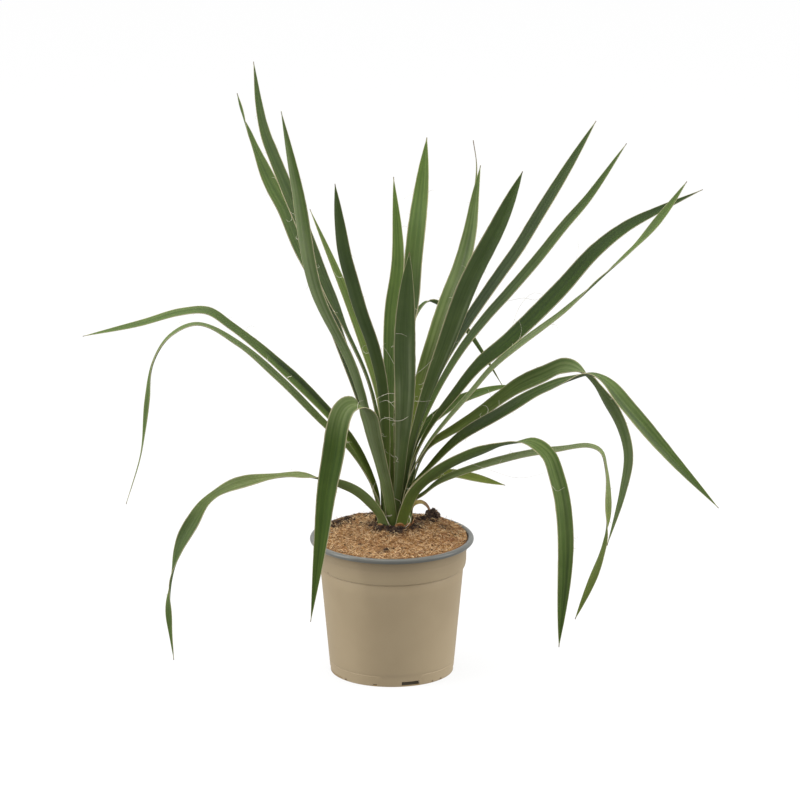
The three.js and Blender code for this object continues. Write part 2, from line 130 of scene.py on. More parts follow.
def startMaterial(name):
    mat = bpy.data.materials.new(name)
    mat.use_nodes = True
    nodes, links = mat.node_tree.nodes, mat.node_tree.links
    return mat, nodes, links, nodes["Principled BSDF"]


def noiseNode(nodes, links, vector, scale, detail=4.0, roughness=0.55):
    tex = nodes.new("ShaderNodeTexNoise")
    tex.inputs["Scale"].default_value = scale
    tex.inputs["Detail"].default_value = detail
    tex.inputs["Roughness"].default_value = roughness
    links.new(vector, tex.inputs["Vector"])
    return tex.outputs["Fac"]


def stretched(nodes, links, vector, scale):
    # a Mapping node that stretches a pattern
    mapping = nodes.new("ShaderNodeMapping")
    mapping.inputs["Scale"].default_value = scale
    links.new(vector, mapping.inputs["Vector"])
    return mapping.outputs["Vector"]


def rampNode(nodes, links, value, stops):
    ramp = nodes.new("ShaderNodeValToRGB")
    ramp.color_ramp.interpolation = 'EASE'
    line = ramp.color_ramp.elements
    while len(line) < len(stops):
        line.new(0.5)
    for stop, (place, color) in zip(line, stops):
        stop.position = place
        stop.color = (*color, 1) if len(color) == 3 else color
    links.new(value, ramp.inputs["Fac"])
    return ramp.outputs["Color"]


def mixNode(nodes, links, share, first, second, blend='MIX'):
    mix = nodes.new("ShaderNodeMix")
    mix.data_type = 'RGBA'
    mix.blend_type = blend
    pairs = ((mix.inputs["Factor"], share), (mix.inputs["A"], first), (mix.inputs["B"], second))
    for socket, value in pairs:
        if isinstance(value, (int, float)):
            socket.default_value = value
        elif isinstance(value, tuple):
            socket.default_value = (*value, 1)
        else:
            links.new(value, socket)
    return mix.outputs["Result"]


def mathNode(nodes, links, operation, first, second=0.0, clamp=False):
    node = nodes.new("ShaderNodeMath")
    node.operation = operation
    node.use_clamp = clamp
    for socket, value in zip(node.inputs, (first, second)):
        if isinstance(value, (int, float)):
            socket.default_value = value
        else:
            links.new(value, socket)
    return node.outputs["Value"]


def bumpNode(nodes, links, height, strength, distance):
    bump = nodes.new("ShaderNodeBump")
    bump.inputs["Strength"].default_value = strength
    bump.inputs["Distance"].default_value = distance
    links.new(height, bump.inputs["Height"])
    return bump.outputs["Normal"]


# the pot
potSetup = {
    "height": 161.0, "rimRadius": 95.0, "rimInner": 88.4,
    "bandRadius": 86.3, "bandBottom": 133.0, "stepHeight": 126.0, "stepRadius": 83.2,
    "footRadius": 71.5, "wall": 1.6, "floorTop": 9.0, "padRadius": 26.0, "padThickness": 2.5,
    "sides": 144,
    "notches": [(-72, 23), (0, 23), (72, 23), (144, 23), (180, 23)],   # azimuth, width
    "notchRise": 5.6,
    "smallNotches": [(-156, 32), (-138, 4), (-106, 6), (-49, 3), (-38, 4)],
    "smallNotchRise": 2.4,
    "panel": (-102.5, -60.0), "panelDepth": 0.45, "panelTop": 12.0,
    "drainHoles": 8, "drainRadius": 4.5, "drainCircle": 50.0,
    "plastic": (0.372, 0.290, 0.178), "plasticDark": (0.340, 0.262, 0.158),
    "bandRimShadow": (0.185, 0.140, 0.082),     # painted shadow under the rim: the band is darker towards it
    "rimGrey": (0.112, 0.116, 0.106), "rimLight": (0.152, 0.152, 0.134),
    "grit": (0.26, 0.20, 0.13),             # fine specks all over
    "speckPlace": (-0.0740, -0.0439, 0.1292), "speckSize": 0.0016, "speckColor": (0.12, 0.07, 0.03),
    "rimShadowFade": (0.128, 0.150, 0.42), "rimFade": (0.15495, 0.15525),   # from and to, in m, and the share
}


def wallRadius(setup, z):
    share = z / setup["stepHeight"]
    return setup["footRadius"] + (setup["stepRadius"] - setup["footRadius"]) * share


def potProfile(setup):
    # radius and height of each ring, from the pad underneath, up the outside and down the inside
    s = setup
    line = [(s["padRadius"], 0), (s["padRadius"] + 4, 6.5), (s["footRadius"] - 6, 6.5),
            (s["footRadius"] - 3.5, 0), (s["footRadius"] - 0.5, 0), (s["footRadius"], 0.5)]
    for z in (4, 8, 11.9):
        line.append((wallRadius(s, z), z))
    line += [(wallRadius(s, 12.3) - 0.35, 12.4), (wallRadius(s, 13) - 0.1, 13.2)]
    for z in (16, 30, 50, 70, 90, 110, 124.8):
        line.append((wallRadius(s, z), z))
    line += [(wallRadius(s, 125.5) - 0.45, 125.6), (s["stepRadius"] + 0.4, 126.2),
             (s["stepRadius"] + 1.9, 127.4)]
    line += [(s["bandRadius"] - 0.6, 129.5), (s["bandRadius"], 133.4), (s["bandRadius"] + 0.1, 140)]
    line += [(s["bandRadius"] + 0.15, 145.4), (s["bandRadius"] + 0.75, 146.1),
             (s["bandRadius"] + 0.8, 152)]
    line += [(s["bandRadius"] + 1.2, 154.6), (s["rimRadius"] - 3.6, 155.0)]
    centre, radius = (s["rimRadius"] - 2.9, s["height"] - 3.0), 3.0
    for angle in range(-75, 91, 15):
        a = math.radians(angle)
        line.append((centre[0] + 2.9 * math.cos(a), centre[1] + radius * math.sin(a)))
    line += [(s["rimInner"] + 1.6, s["height"] - 0.2), (s["rimInner"] + 0.5, s["height"] - 0.9),
             (s["rimInner"], s["height"] - 2.4), (s["rimInner"] - 0.6, 150)]
    line += [(s["bandRadius"] - s["wall"], s["bandBottom"] + 2),
             (s["stepRadius"] - s["wall"], s["stepHeight"] - 1)]
    line += [(s["footRadius"] - s["wall"] + 0.6, s["floorTop"]), (s["padRadius"] + 5, s["floorTop"]),
             (s["padRadius"] + 1, s["padThickness"])]
    return line


def drawRings(name, line, sides):
    # a circle drawn up ring by ring with extrude and scale, closed at both ends
    clearSelection()
    radius, height = line[0]
    bpy.ops.mesh.primitive_circle_add(vertices=sides, radius=radius * mm, location=(0, 0, height * mm))
    piece = bpy.context.object
    piece.name = name
    bpy.ops.object.transform_apply(location=True)
    bpy.ops.object.mode_set(mode='EDIT')
    bpy.ops.mesh.select_mode(type='EDGE')
    bpy.ops.mesh.select_all(action='SELECT')
    for before, after in zip(line, line[1:]):
        rise = (after[1] - before[1]) * mm
        bpy.ops.mesh.extrude_edges_move(TRANSFORM_OT_translate={"value": (0, 0, rise)})
        grow = after[0] / before[0]
        bpy.ops.transform.resize(value=(grow, grow, 1), center_override=(0, 0, after[1] * mm))
    bpy.ops.mesh.select_all(action='SELECT')
    bpy.ops.mesh.fill_holes(sides=0)
    bpy.ops.mesh.normals_make_consistent(inside=False)
    bpy.ops.object.mode_set(mode='OBJECT')
    return piece


def cutAway(piece, cutter):
    mod = piece.modifiers.new("cut", 'BOOLEAN')
    mod.operation = 'DIFFERENCE'
    mod.solver = 'EXACT'
    mod.object = cutter
    applyAll(piece)
    bpy.data.objects.remove(cutter)


def footCutter(setup, azimuth, width, rise, slant):
    # a block across the foot, narrower at its top
    angle = math.radians(azimuth)
    bpy.ops.mesh.primitive_cube_add(size=1, location=(setup["footRadius"] * mm, 0, 0))
    block = bpy.context.object
    block.scale = (16 * mm, width * mm, 2 * rise * mm)
    bpy.ops.object.transform_apply(location=True, rotation=True, scale=True)
    for point in block.data.vertices:
        if point.co.z > 0:
            point.co.y -= math.copysign(slant * mm, point.co.y)
    block.rotation_euler = (0, 0, angle)
    bpy.ops.object.transform_apply(rotation=True)
    return block


def potMaterial(setup):
    mat, nodes, links, shader = startMaterial("taupe_nursery_plastic")
    place = nodes.new("ShaderNodeTexCoord").outputs["Object"]
    split = nodes.new("ShaderNodeSeparateXYZ")
    links.new(place, split.inputs[0])
    height = split.outputs["Z"]
    cloud = noiseNode(nodes, links, place, 14, 3, 0.5)
    speck = noiseNode(nodes, links, place, 900, 2, 0.5)
    streak = noiseNode(nodes, links, stretched(nodes, links, place, (160, 160, 14)), 1.0, 4, 0.6)
    plastic = rampNode(nodes, links, cloud, [(0.32, setup["plasticDark"]), (0.68, setup["plastic"])])
    streak = mathNode(nodes, links, 'MULTIPLY', streak, 0.35)
    plastic = mixNode(nodes, links, streak, plastic, setup["plastic"])
    speck = rampNode(nodes, links, speck, [(0.66, (0, 0, 0)), (0.85, (0.35, 0.35, 0.35))])
    plastic = mixNode(nodes, links, speck, plastic, setup["grit"])
    away = nodes.new("ShaderNodeVectorMath")
    away.operation = 'DISTANCE'
    links.new(place, away.inputs[0])
    away.inputs[1].default_value = setup["speckPlace"]
    blot = mathNode(nodes, links, 'DIVIDE', away.outputs["Value"], setup["speckSize"])
    blot = rampNode(nodes, links, blot, [(0.4, (0.8, 0.8, 0.8)), (1.0, (0, 0, 0))])
    plastic = mixNode(nodes, links, blot, plastic, setup["speckColor"])
    # painted shadow under the rim: the band is darkened towards the rim
    underRimShadow = nodes.new("ShaderNodeMapRange")
    underRimShadow.inputs["From Min"].default_value = setup["rimShadowFade"][0]
    underRimShadow.inputs["From Max"].default_value = setup["rimShadowFade"][1]
    underRimShadow.inputs["To Max"].default_value = setup["rimShadowFade"][2]
    links.new(height, underRimShadow.inputs["Value"])
    plastic = mixNode(nodes, links, underRimShadow.outputs["Result"], plastic, setup["bandRimShadow"])
    isRim = nodes.new("ShaderNodeMapRange")
    isRim.inputs["From Min"].default_value = setup["rimFade"][0]
    isRim.inputs["From Max"].default_value = setup["rimFade"][1]
    links.new(height, isRim.inputs["Value"])
    worn = noiseNode(nodes, links, place, 24, 2, 0.5)
    grey = rampNode(nodes, links, worn, [(0.35, setup["rimGrey"]), (0.75, setup["rimLight"])])
    color = mixNode(nodes, links, isRim.outputs["Result"], plastic, grey)
    links.new(color, shader.inputs["Base Color"])
    fine = noiseNode(nodes, links, place, 1400, 2, 0.5)
    shader.inputs["Specular IOR Level"].default_value = 0.4
    rough = nodes.new("ShaderNodeMapRange")
    rough.inputs["To Min"].default_value = 0.50
    rough.inputs["To Max"].default_value = 0.60
    links.new(cloud, rough.inputs["Value"])
    less = mathNode(nodes, links, 'MULTIPLY', isRim.outputs["Result"], 0.26)
    rough = mathNode(nodes, links, 'SUBTRACT', rough.outputs["Result"], less)
    links.new(rough, shader.inputs["Roughness"])
    links.new(bumpNode(nodes, links, fine, 0.12, 0.0002), shader.inputs["Normal"])
    return mat


def makePot(setup):
    pot = drawRings("pot_shell", potProfile(setup), setup["sides"])
    # a shallow panel pressed into the foot round the front notch
    co = pointsOf(pot) / mm
    radius = np.hypot(co[:, 0], co[:, 1])
    turn = np.degrees(np.arctan2(co[:, 1], co[:, 0]))
    inside = (turn > setup["panel"][0]) & (turn < setup["panel"][1]) & (co[:, 2] < setup["panelTop"])
    pressed = inside & (radius > setup["footRadius"] - 1)
    co[pressed, :2] *= (1 - setup["panelDepth"] / radius[pressed])[:, None]
    placePoints(pot, co * mm)
    for azimuth, width in setup["notches"]:
        cutAway(pot, footCutter(setup, azimuth, width, setup["notchRise"], 0.8))
    for azimuth, width in setup["smallNotches"]:
        cutAway(pot, footCutter(setup, azimuth, width, setup["smallNotchRise"], 0.4))
    for index in range(setup["drainHoles"]):
        turn = (index + 0.5) * 2 * math.pi / setup["drainHoles"]
        circle = setup["drainCircle"]
        spot = (circle * math.cos(turn) * mm, circle * math.sin(turn) * mm, 0.008)
        bpy.ops.mesh.primitive_cylinder_add(vertices=32, radius=setup["drainRadius"] * mm,
                                            depth=0.02, location=spot)
        cutAway(pot, bpy.context.object)
    shadeSmooth(pot, 35)
    pot.data.materials.clear()
    pot.data.materials.append(potMaterial(setup))
    return settle(pot, "pot_shell", "pot")


makePot(potSetup)
print("pot done")

# mulch, peat and the stem
crown = (3.0, 15.0)
mulchSetup = {
    "edge": 159.4, "crownHeight": 173.0, "reach": 60.0, "relief": 1.6, "under": 150.3,
    "heap": (5.6, 115.0, 55.0),        # height, azimuth and spread
    "knoll": (4.5, 44.0, 52.0, 13.0),  # height, place and reach
    "pile": (3.2, 36.0, 47.0, 11.0),   # loose peat on top of the knoll
    "collar": (3.3, 23.0, 5.0),        # peat round the crown: height, radius and reach
    "ridge": (2.6, 38.0, 30.0),        # loose mulch against the rim: height, azimuth and spread
    "outer": 87.4, "sides": 200, "rings": 64, "lumps": 0.9, "grain": 0.55,
    "fibres": 7300, "seed": 11, "spread": 86.5, "farthest": 88.2,
    "clear": 21.5,                     # no fibre's middle lies nearer to the crown's
    "bold": (0.12, 1.35, 1.8),         # bold fibres: their share, and how much longer and thicker
    "rust": (68, -16, 130),            # the rusty patch: place and spread
    "light": (0.66, 0.385, 0.145), "mid": (0.36, 0.175, 0.055), "deep": (0.085, 0.036, 0.011),
    "bedLight": (0.40, 0.215, 0.070), "bedMid": (0.18, 0.082, 0.026), "bedDeep": (0.050, 0.021, 0.008),
    "bedPeat": (0.022, 0.012, 0.007), "peatDust": (0.025, 0.014, 0.008),
    "pale": (0.88, 0.66, 0.38), "length": (2.2, 7.6), "thick": (0.22, 0.42), "lift": 2.5,
    "rusty": (0.30, 0.09, 0.03),
}


def mulchHeight(x, y):
    s = mulchSetup
    fromCrown = np.hypot(x - crown[0], y - crown[1])
    fromMiddle = np.hypot(x, y) / potSetup["rimInner"]
    fade = np.exp(-((fromCrown / s["reach"]) ** 2))
    mound = (s["crownHeight"] - s["edge"]) * (1 - fromMiddle ** 2) * fade
    clumps = np.sin(x * 0.21 + 1.3) * np.cos(y * 0.19 - 0.4) + 0.6 * np.sin(x * 0.47 - y * 0.39)
    height, azimuth, spread = s["heap"]
    turn = (np.degrees(np.arctan2(y, x)) - azimuth + 540) % 360 - 180
    heaped = height * np.exp(-((turn / spread) ** 2)) * fromMiddle ** 3
    height, kx, ky, reach = s["knoll"]
    knoll = height * np.exp(-((x - kx) ** 2 + (y - ky) ** 2) / (reach * reach))
    return s["edge"] + mound + heaped + knoll + s["relief"] * 0.6 * clumps * (1 - 0.6 * fromMiddle ** 4)


# dark peat that shows through the coir: centre, reach and strength, in mm
peatPatches = [
    (3, -7, 9, 1.0), (-9, -2, 8, 0.9), (-20, 12, 9, 0.9), (20, 4, 10, 0.95), (27, 14, 9, 0.9),
    (14, -6, 7, 0.8),
    (-58, 50, 12, 0.9), (-68, 34, 10, 0.8), (-38, 28, 7, 0.6), (-46, 66, 10, 0.6), (44, 52, 14, 0.9),
    (33, 40, 12, 0.8), (-8, 44, 16, 0.7), (12, 52, 15, 0.7), (-37, -37, 3.2, 0.9), (-7, -57, 4.5, 1.0),
    (-5, -22, 4, 0.6), (76, 2, 6, 0.6), (60, 30, 7, 0.5), (10, 78, 9, 0.7), (-24, 78, 9, 0.7),
    (-52, 62, 9, 0.8),
    (-16, 0, 7, 0.9), (-4, -8, 7, 0.9), (30, 24, 8, 0.8), (-72, 40, 8, 0.8), (30, 76, 8, 0.6),
    (-14, -4, 8, 1.0), (4, -12, 8, 1.0), (12, -9, 8, 0.9), (-30, 74, 8, 0.9), (-22, 22, 10, 0.8),
    (24, 8, 9, 0.9),
]


def peatShare(x, y):
    share = np.zeros_like(np.asarray(x, float))
    for px, py, reach, strength in peatPatches:
        share = np.maximum(share, strength * np.exp(-((x - px) ** 2 + (y - py) ** 2) / (reach * reach)))
    return share


def addTone(piece, values, name="tone"):
    layer = piece.data.color_attributes.new(name=name, type='FLOAT_COLOR', domain='POINT')
    layer.data.foreach_set("color", np.ascontiguousarray(values, dtype=np.float32).ravel())


def toneNode(nodes, links, name="tone"):
    attribute = nodes.new("ShaderNodeAttribute")
    attribute.attribute_name = name
    split = nodes.new("ShaderNodeSeparateColor")
    links.new(attribute.outputs["Color"], split.inputs["Color"])
    return split.outputs["Red"], split.outputs["Green"], split.outputs["Blue"]


def coirMaterial(setup):
    mat, nodes, links, shader = startMaterial("coir_bed")
    place = nodes.new("ShaderNodeTexCoord").outputs["Object"]
    clump = noiseNode(nodes, links, place, 170, 6, 0.65)
    strand = noiseNode(nodes, links, stretched(nodes, links, place, (420, 1500, 700)), 1.0, 4, 0.7)
    dark, _, _ = toneNode(nodes, links)
    both = mathNode(nodes, links, 'ADD', mathNode(nodes, links, 'MULTIPLY', clump, 0.6),
                    mathNode(nodes, links, 'MULTIPLY', strand, 0.4))
    # the bed under the fibres is coloured darker than they are: its own darker coir together with painted
    # shade in the gaps between the fibres
    color = rampNode(nodes, links, both, [(0.30, setup["bedDeep"]), (0.48, setup["bedMid"]),
                                          (0.66, setup["bedLight"])])
    color = mixNode(nodes, links, dark, color, setup["bedPeat"])
    links.new(color, shader.inputs["Base Color"])
    shader.inputs["Roughness"].default_value = 0.92
    links.new(bumpNode(nodes, links, both, 0.8, 0.0012), shader.inputs["Normal"])
    return mat


def fibreMaterial(setup):
    mat, nodes, links, shader = startMaterial("coir_fibre")
    place = nodes.new("ShaderNodeTexCoord").outputs["Object"]
    tone, dark, rust = toneNode(nodes, links)
    grain = noiseNode(nodes, links, place, 700, 3, 0.6)
    color = rampNode(nodes, links, tone, [(0.0, setup["deep"]), (0.32, setup["mid"]),
                                          (0.70, setup["light"]), (1.0, setup["pale"])])
    grain = mathNode(nodes, links, 'MULTIPLY', grain, 0.25)
    color = mixNode(nodes, links, grain, color, setup["mid"])
    color = mixNode(nodes, links, rust, color, setup["rusty"])
    color = mixNode(nodes, links, dark, color, setup["peatDust"])
    links.new(color, shader.inputs["Base Color"])
    shader.inputs["Roughness"].default_value = 0.8
    return mat


peatSetup = {
    "deep": (0.014, 0.007, 0.004), "mid": (0.050, 0.026, 0.013), "light": (0.16, 0.088, 0.042),
}


def peatMaterial(setup):
    mat, nodes, links, shader = startMaterial("dark_peat")
    place = nodes.new("ShaderNodeTexCoord").outputs["Object"]
    crumb = noiseNode(nodes, links, place, 520, 5, 0.65)
    color = rampNode(nodes, links, crumb, [(0.35, setup["deep"]), (0.6, setup["mid"]),
                                           (0.78, setup["light"])])
    links.new(color, shader.inputs["Base Color"])
    shader.inputs["Roughness"].default_value = 0.88
    links.new(bumpNode(nodes, links, crumb, 0.7, 0.001), shader.inputs["Normal"])
    return mat


def lumpAt(x, y, z=0.0):
    s = mulchSetup
    big = noise.noise(Vector((x * 0.16, y * 0.16, z + 3.1)))
    small = noise.noise(Vector((x * 0.55, y * 0.55, z + 9.7)))
    return s["lumps"] * big * 1.6 + s["grain"] * small * 1.4


def loosePeat(x, y):
    # the peat piled up beside the crown and round its foot
    s = mulchSetup
    height, px, py, reach = s["pile"]
    pile = height * np.exp(-((x - px) ** 2 + (y - py) ** 2) / (reach * reach))
    height, radius, reach = s["collar"]
    away = np.hypot(x - crown[0], y - crown[1])
    collar = height * np.exp(-(((away - radius) / reach) ** 2))
    height, azimuth, spread = s["ridge"]
    turn = (np.degrees(np.arctan2(y, x)) - azimuth + 540) % 360 - 180
    return pile + collar + height * np.exp(-((turn / spread) ** 2)) * (np.hypot(x, y) / s["outer"]) ** 4


def groundAt(x, y):
    # the height that fibres and crumbs lie on, at one place
    s = clodSetup
    ground = mulchHeight(x, y) + lumpAt(x, y) + loosePeat(x, y)
    axes = zip((x, y), s["centre"], s["size"])
    inside = 1 - sum(((at - middle) / size) ** 2 for at, middle, size in axes)
    if inside > 0:
        ground = max(ground, s["centre"][2] + s["size"][2] * math.sqrt(inside))
    return ground


clodSetup = {"centre": (47.7, 57.0, 167.4), "size": (8.0, 6.9, 8.2), "waves": 0.13, "lumps": 0.24}


def makeMulchBed(setup):
    s = setup
    line = [(s["outer"] - 0.6, s["under"]), (s["outer"], 153), (s["outer"], 157)]
    for ring in range(1, s["rings"]):
        share = ring / s["rings"]
        line.append((s["outer"] * (1 - share) + 0.4 * share, 157))
    bed = drawRings("mulch_bed", line, s["sides"])
    co = pointsOf(bed) / mm
    radius = np.hypot(co[:, 0], co[:, 1])
    top = co[:, 2] > 156
    height = mulchHeight(co[:, 0], co[:, 1]) + loosePeat(co[:, 0], co[:, 1])
    lumps = np.array([lumpAt(x, y) for x, y in co[:, :2]])
    dark = peatShare(co[:, 0], co[:, 1])
    edge = smoothstep(radius, s["outer"], s["outer"] - 5)
    co[:, 2] = np.where(top, height + lumps * edge - 0.9 * dark - 0.6, co[:, 2])
    placePoints(bed, co * mm)
    speck = np.array([noise.noise(Vector((x * 0.5, y * 0.5, 4.4))) for x, y in co[:, :2]])
    dark = np.clip(dark * 1.25 + 0.5 * dark * speck, 0, 1)
    tone = np.ones((len(co), 4))
    tone[:, 0] = dark
    addTone(bed, tone)
    shadeSmooth(bed, 60)
    bed.data.materials.clear()
    bed.data.materials.append(coirMaterial(s))
    return settle(bed, "mulch_bed", "coir_mulch")


def fibreShape(curl, kink):
    # one short fibre, 1 mm long: a three sided bar, cut in four and bent in its own plane
    clearSelection()
    bpy.ops.mesh.primitive_cylinder_add(vertices=3, radius=0.5, depth=1, rotation=(0, math.pi / 2, 0))
    bpy.ops.object.transform_apply(rotation=True)
    piece = bpy.context.object
    bpy.ops.object.mode_set(mode='EDIT')
    for cut in (-0.28, 0.0, 0.28):
        bpy.ops.mesh.select_all(action='SELECT')
        bpy.ops.mesh.bisect(plane_co=(cut, 0, 0), plane_no=(1, 0, 0))
    bpy.ops.mesh.select_all(action='SELECT')
    bpy.ops.mesh.normals_make_consistent(inside=False)
    bpy.ops.object.mode_set(mode='OBJECT')
    co = pointsOf(piece)
    thin = 1 - 0.55 * np.abs(2 * co[:, 0]) ** 3
    bend = curl * np.cos(math.pi * co[:, 0]) + kink * np.sin(2 * math.pi * co[:, 0])
    points = np.stack([co[:, 0], bend, co[:, 1] * thin, co[:, 2] * thin], 1)
    faces = [tuple(face.vertices) for face in piece.data.polygons]
    bpy.data.objects.remove(piece)
    return points, faces


def scatterFibres(setup):
    rng = np.random.default_rng(setup["seed"])
    shapes = [fibreShape(curl, kink) for curl, kink in
              ((0.03, 0.02), (0.08, 0.0), (0.14, -0.03), (-0.06, 0.05), (0.26, 0.05), (0.04, -0.06))]
    verts, faces, tones = [], [], []
    boldShare, boldLength, boldThick = setup["bold"]
    rustX, rustY, rustSpread = setup["rust"]
    count = 0
    while count < setup["fibres"]:
        r = setup["spread"] * math.sqrt(rng.random())
        a = rng.random() * 2 * math.pi
        x, y = r * math.cos(a), r * math.sin(a)
        if math.hypot(x - crown[0], y - crown[1]) < setup["clear"]:
            continue
        peat = float(peatShare(x, y))
        if rng.random() < peat * 0.8:
            continue
        count += 1
        shape, quads = shapes[rng.integers(len(shapes))]
        length = setup["length"][0] + (setup["length"][1] - setup["length"][0]) * rng.random() ** 2.0
        thick = setup["thick"][0] + (setup["thick"][1] - setup["thick"][0]) * rng.random() ** 2
        bold = rng.random() < boldShare
        if bold:
            length, thick = length * boldLength, thick * boldThick
        turn = rng.random() * 2 * math.pi
        tilt = (rng.random() - 0.42) * 1.5
        roll = (rng.random() - 0.5) * 2.4
        px = shape[:, 0] * length
        py = shape[:, 1] * length * math.cos(roll) + shape[:, 2] * thick
        pz = shape[:, 1] * length * math.sin(roll) + px * math.sin(tilt) + shape[:, 3] * thick
        qx = x + px * math.cos(turn) - py * math.sin(turn)
        qy = y + px * math.sin(turn) + py * math.cos(turn)
        reach = np.hypot(qx, qy)
        over = np.maximum(reach - setup["farthest"], 0) / np.maximum(reach, 1)
        qx, qy = qx * (1 - over), qy * (1 - over)
        ground = groundAt(x, y) - 0.5
        lift = 0.1 + setup["lift"] * rng.random() ** 1.8
        qz = ground + lift + np.maximum(pz, -0.9)
        verts.append(np.stack([qx, qy, qz], 1))
        faces.append(quads)
        patch = 0.5 + 0.5 * noise.noise(Vector((x * 0.11, y * 0.11, 1.7)))
        # raised fibres are coloured lighter: painted light on those lifted off the bed and painted shade
        # on those lying low
        tone = np.clip(0.10 + 0.24 * lift + 0.70 * rng.random() + 0.5 * (patch - 0.5) + 0.3 * bold, 0, 1)
        dark = 0.8 if rng.random() < 0.07 + 0.7 * peat else 0.0
        rust = 0.0
        spot = math.exp(-((x - rustX) ** 2 + (y - rustY) ** 2) / rustSpread)
        if rng.random() < 0.05 + 0.6 * spot:
            rust = 0.75
        tones.append(np.tile([tone, dark, rust, 1.0], (len(shape), 1)))
    return verts, faces, tones


def joinedPiece(name, verts, faces, tones):
    allFaces = []
    start = 0
    for block, quads in zip(verts, faces):
        allFaces += [tuple(start + i for i in face) for face in quads]
        start += len(block)
    mesh = bpy.data.meshes.new(name)
    mesh.from_pydata((np.concatenate(verts) * mm).tolist(), [], allFaces)
    mesh.update()
    piece = bpy.data.objects.new(name, mesh)
    bpy.context.scene.collection.objects.link(piece)
    addTone(piece, np.concatenate(tones))
    return piece


makeMulchBed(mulchSetup)
fibres = joinedPiece("coir_fibres", *scatterFibres(mulchSetup))
fibres.data.materials.append(fibreMaterial(mulchSetup))
settle(fibres, "coir_fibres")
print("mulch done")

crumbSetup = {"count": 900, "seed": 5, "segments": 8, "rings": 5, "rough": 0.55,
              "spread": 84.5, "clear": 20.8}   # within the rim, and clear of the crown


def crumbShape(setup):
    # one rough crumb, 1 mm across
    clearSelection()
    bpy.ops.mesh.primitive_uv_sphere_add(segments=setup["segments"], ring_count=setup["rings"],
                                         radius=0.5)
    piece = bpy.context.object
    co = pointsOf(piece)
    grown = [1 + setup["rough"] * noise.noise(Vector(point) * 3.1 + Vector((7, 1, 4))) for point in co]
    co = co * np.array(grown)[:, None]
    faces = [tuple(face.vertices) for face in piece.data.polygons]
    bpy.data.objects.remove(piece)
    return co, faces


def scatterCrumbs(setup):
    rng = np.random.default_rng(setup["seed"])
    shape, polygons = crumbShape(setup)
    verts, faces, tones = [], [], []
    while len(verts) < setup["count"]:
        r = setup["spread"] * math.sqrt(rng.random())
        a = rng.random() * 2 * math.pi
        x, y = r * math.cos(a), r * math.sin(a)
        if math.hypot(x - crown[0], y - crown[1]) < setup["clear"]:
            continue
        peat = float(peatShare(x, y))
        if rng.random() > 0.035 + peat ** 1.6:
            continue
        size = 0.7 + 2.6 * rng.random() ** 2 * (0.35 + peat)
        stretch = size * (0.6 + 0.8 * rng.random(3))
        turn = rng.random() * 2 * math.pi
        block = shape * stretch
        bx = block[:, 0] * math.cos(turn) - block[:, 1] * math.sin(turn)
        by = block[:, 0] * math.sin(turn) + block[:, 1] * math.cos(turn)
        ground = groundAt(x, y) - 0.9 * peat - 0.35 + (0.6 + 1.6 * peat * rng.random()) * rng.random()
        verts.append(np.stack([bx + x, by + y, block[:, 2] + ground], 1))
        faces.append(polygons)
        tones.append(np.tile([rng.random(), 0, 0, 1.0], (len(block), 1)))
    return verts, faces, tones


peatLook = peatMaterial(peatSetup)
crumbs = joinedPiece("peat_crumbs", *scatterCrumbs(crumbSetup))
crumbs.data.materials.append(peatLook)
shadeSmooth(crumbs, 50)
settle(crumbs, "peat_crumbs")
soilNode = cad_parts["potting_soil"]
for slotIndex in range(len(soilNode.material_slots)):
    soilNode.material_slots[slotIndex].material = peatLook


def makeClod(setup):
    # a lump of peat pressed flat on the mulch
    clearSelection()
    bpy.ops.mesh.primitive_ico_sphere_add(subdivisions=5, radius=1)
    clod = bpy.context.object
    co = pointsOf(clod)
    waves = np.sin(5 * co[:, 0] + 1) * np.cos(4 * co[:, 1]) + 0.8 * np.sin(6 * co[:, 2] + 2 * co[:, 0])
    rough = np.array([noise.noise(Vector(point) * 2.6) + 0.5 * noise.noise(Vector(point) * 7.5)
                      for point in co])
    co = co * (1 + setup["waves"] * waves + setup["lumps"] * rough)[:, None]
    co = co * np.array(setup["size"]) + np.array(setup["centre"])
    floorHeight = mulchHeight(co[:, 0], co[:, 1]) + 0.3
    co[:, 2] = np.maximum(co[:, 2], floorHeight)
    placePoints(clod, co * mm)
    shadeSmooth(clod, 70)
    clod.data.materials.clear()
    clod.data.materials.append(peatLook)
    return settle(clod, "peat_lump", "peat_clod")


makeClod(clodSetup)

stemSetup = {
    "radius": 20.5, "bottom": 118.0, "top": 172.0, "sides": 120,
    "deep": (0.070, 0.028, 0.010), "mid": (0.26, 0.105, 0.028), "light": (0.50, 0.24, 0.075),
    "patch": (0.03, 0.015, 0.008),
}


def barkMaterial(setup):
    mat, nodes, links, shader = startMaterial("fibrous_stem")
    place = nodes.new("ShaderNodeTexCoord").outputs["Object"]
    strand = noiseNode(nodes, links, stretched(nodes, links, place, (600, 600, 130)), 1.0, 5, 0.65)
    patch = noiseNode(nodes, links, place, 120, 4, 0.6)
    color = rampNode(nodes, links, strand, [(0.30, setup["deep"]), (0.50, setup["mid"]),
                                            (0.72, setup["light"])])
    patch = rampNode(nodes, links, patch, [(0.52, (0, 0, 0)), (0.75, (0.7,) * 3)])
    color = mixNode(nodes, links, patch, color, setup["patch"])
    links.new(color, shader.inputs["Base Color"])
    shader.inputs["Roughness"].default_value = 0.85
    links.new(bumpNode(nodes, links, strand, 0.7, 0.0008), shader.inputs["Normal"])
    return mat


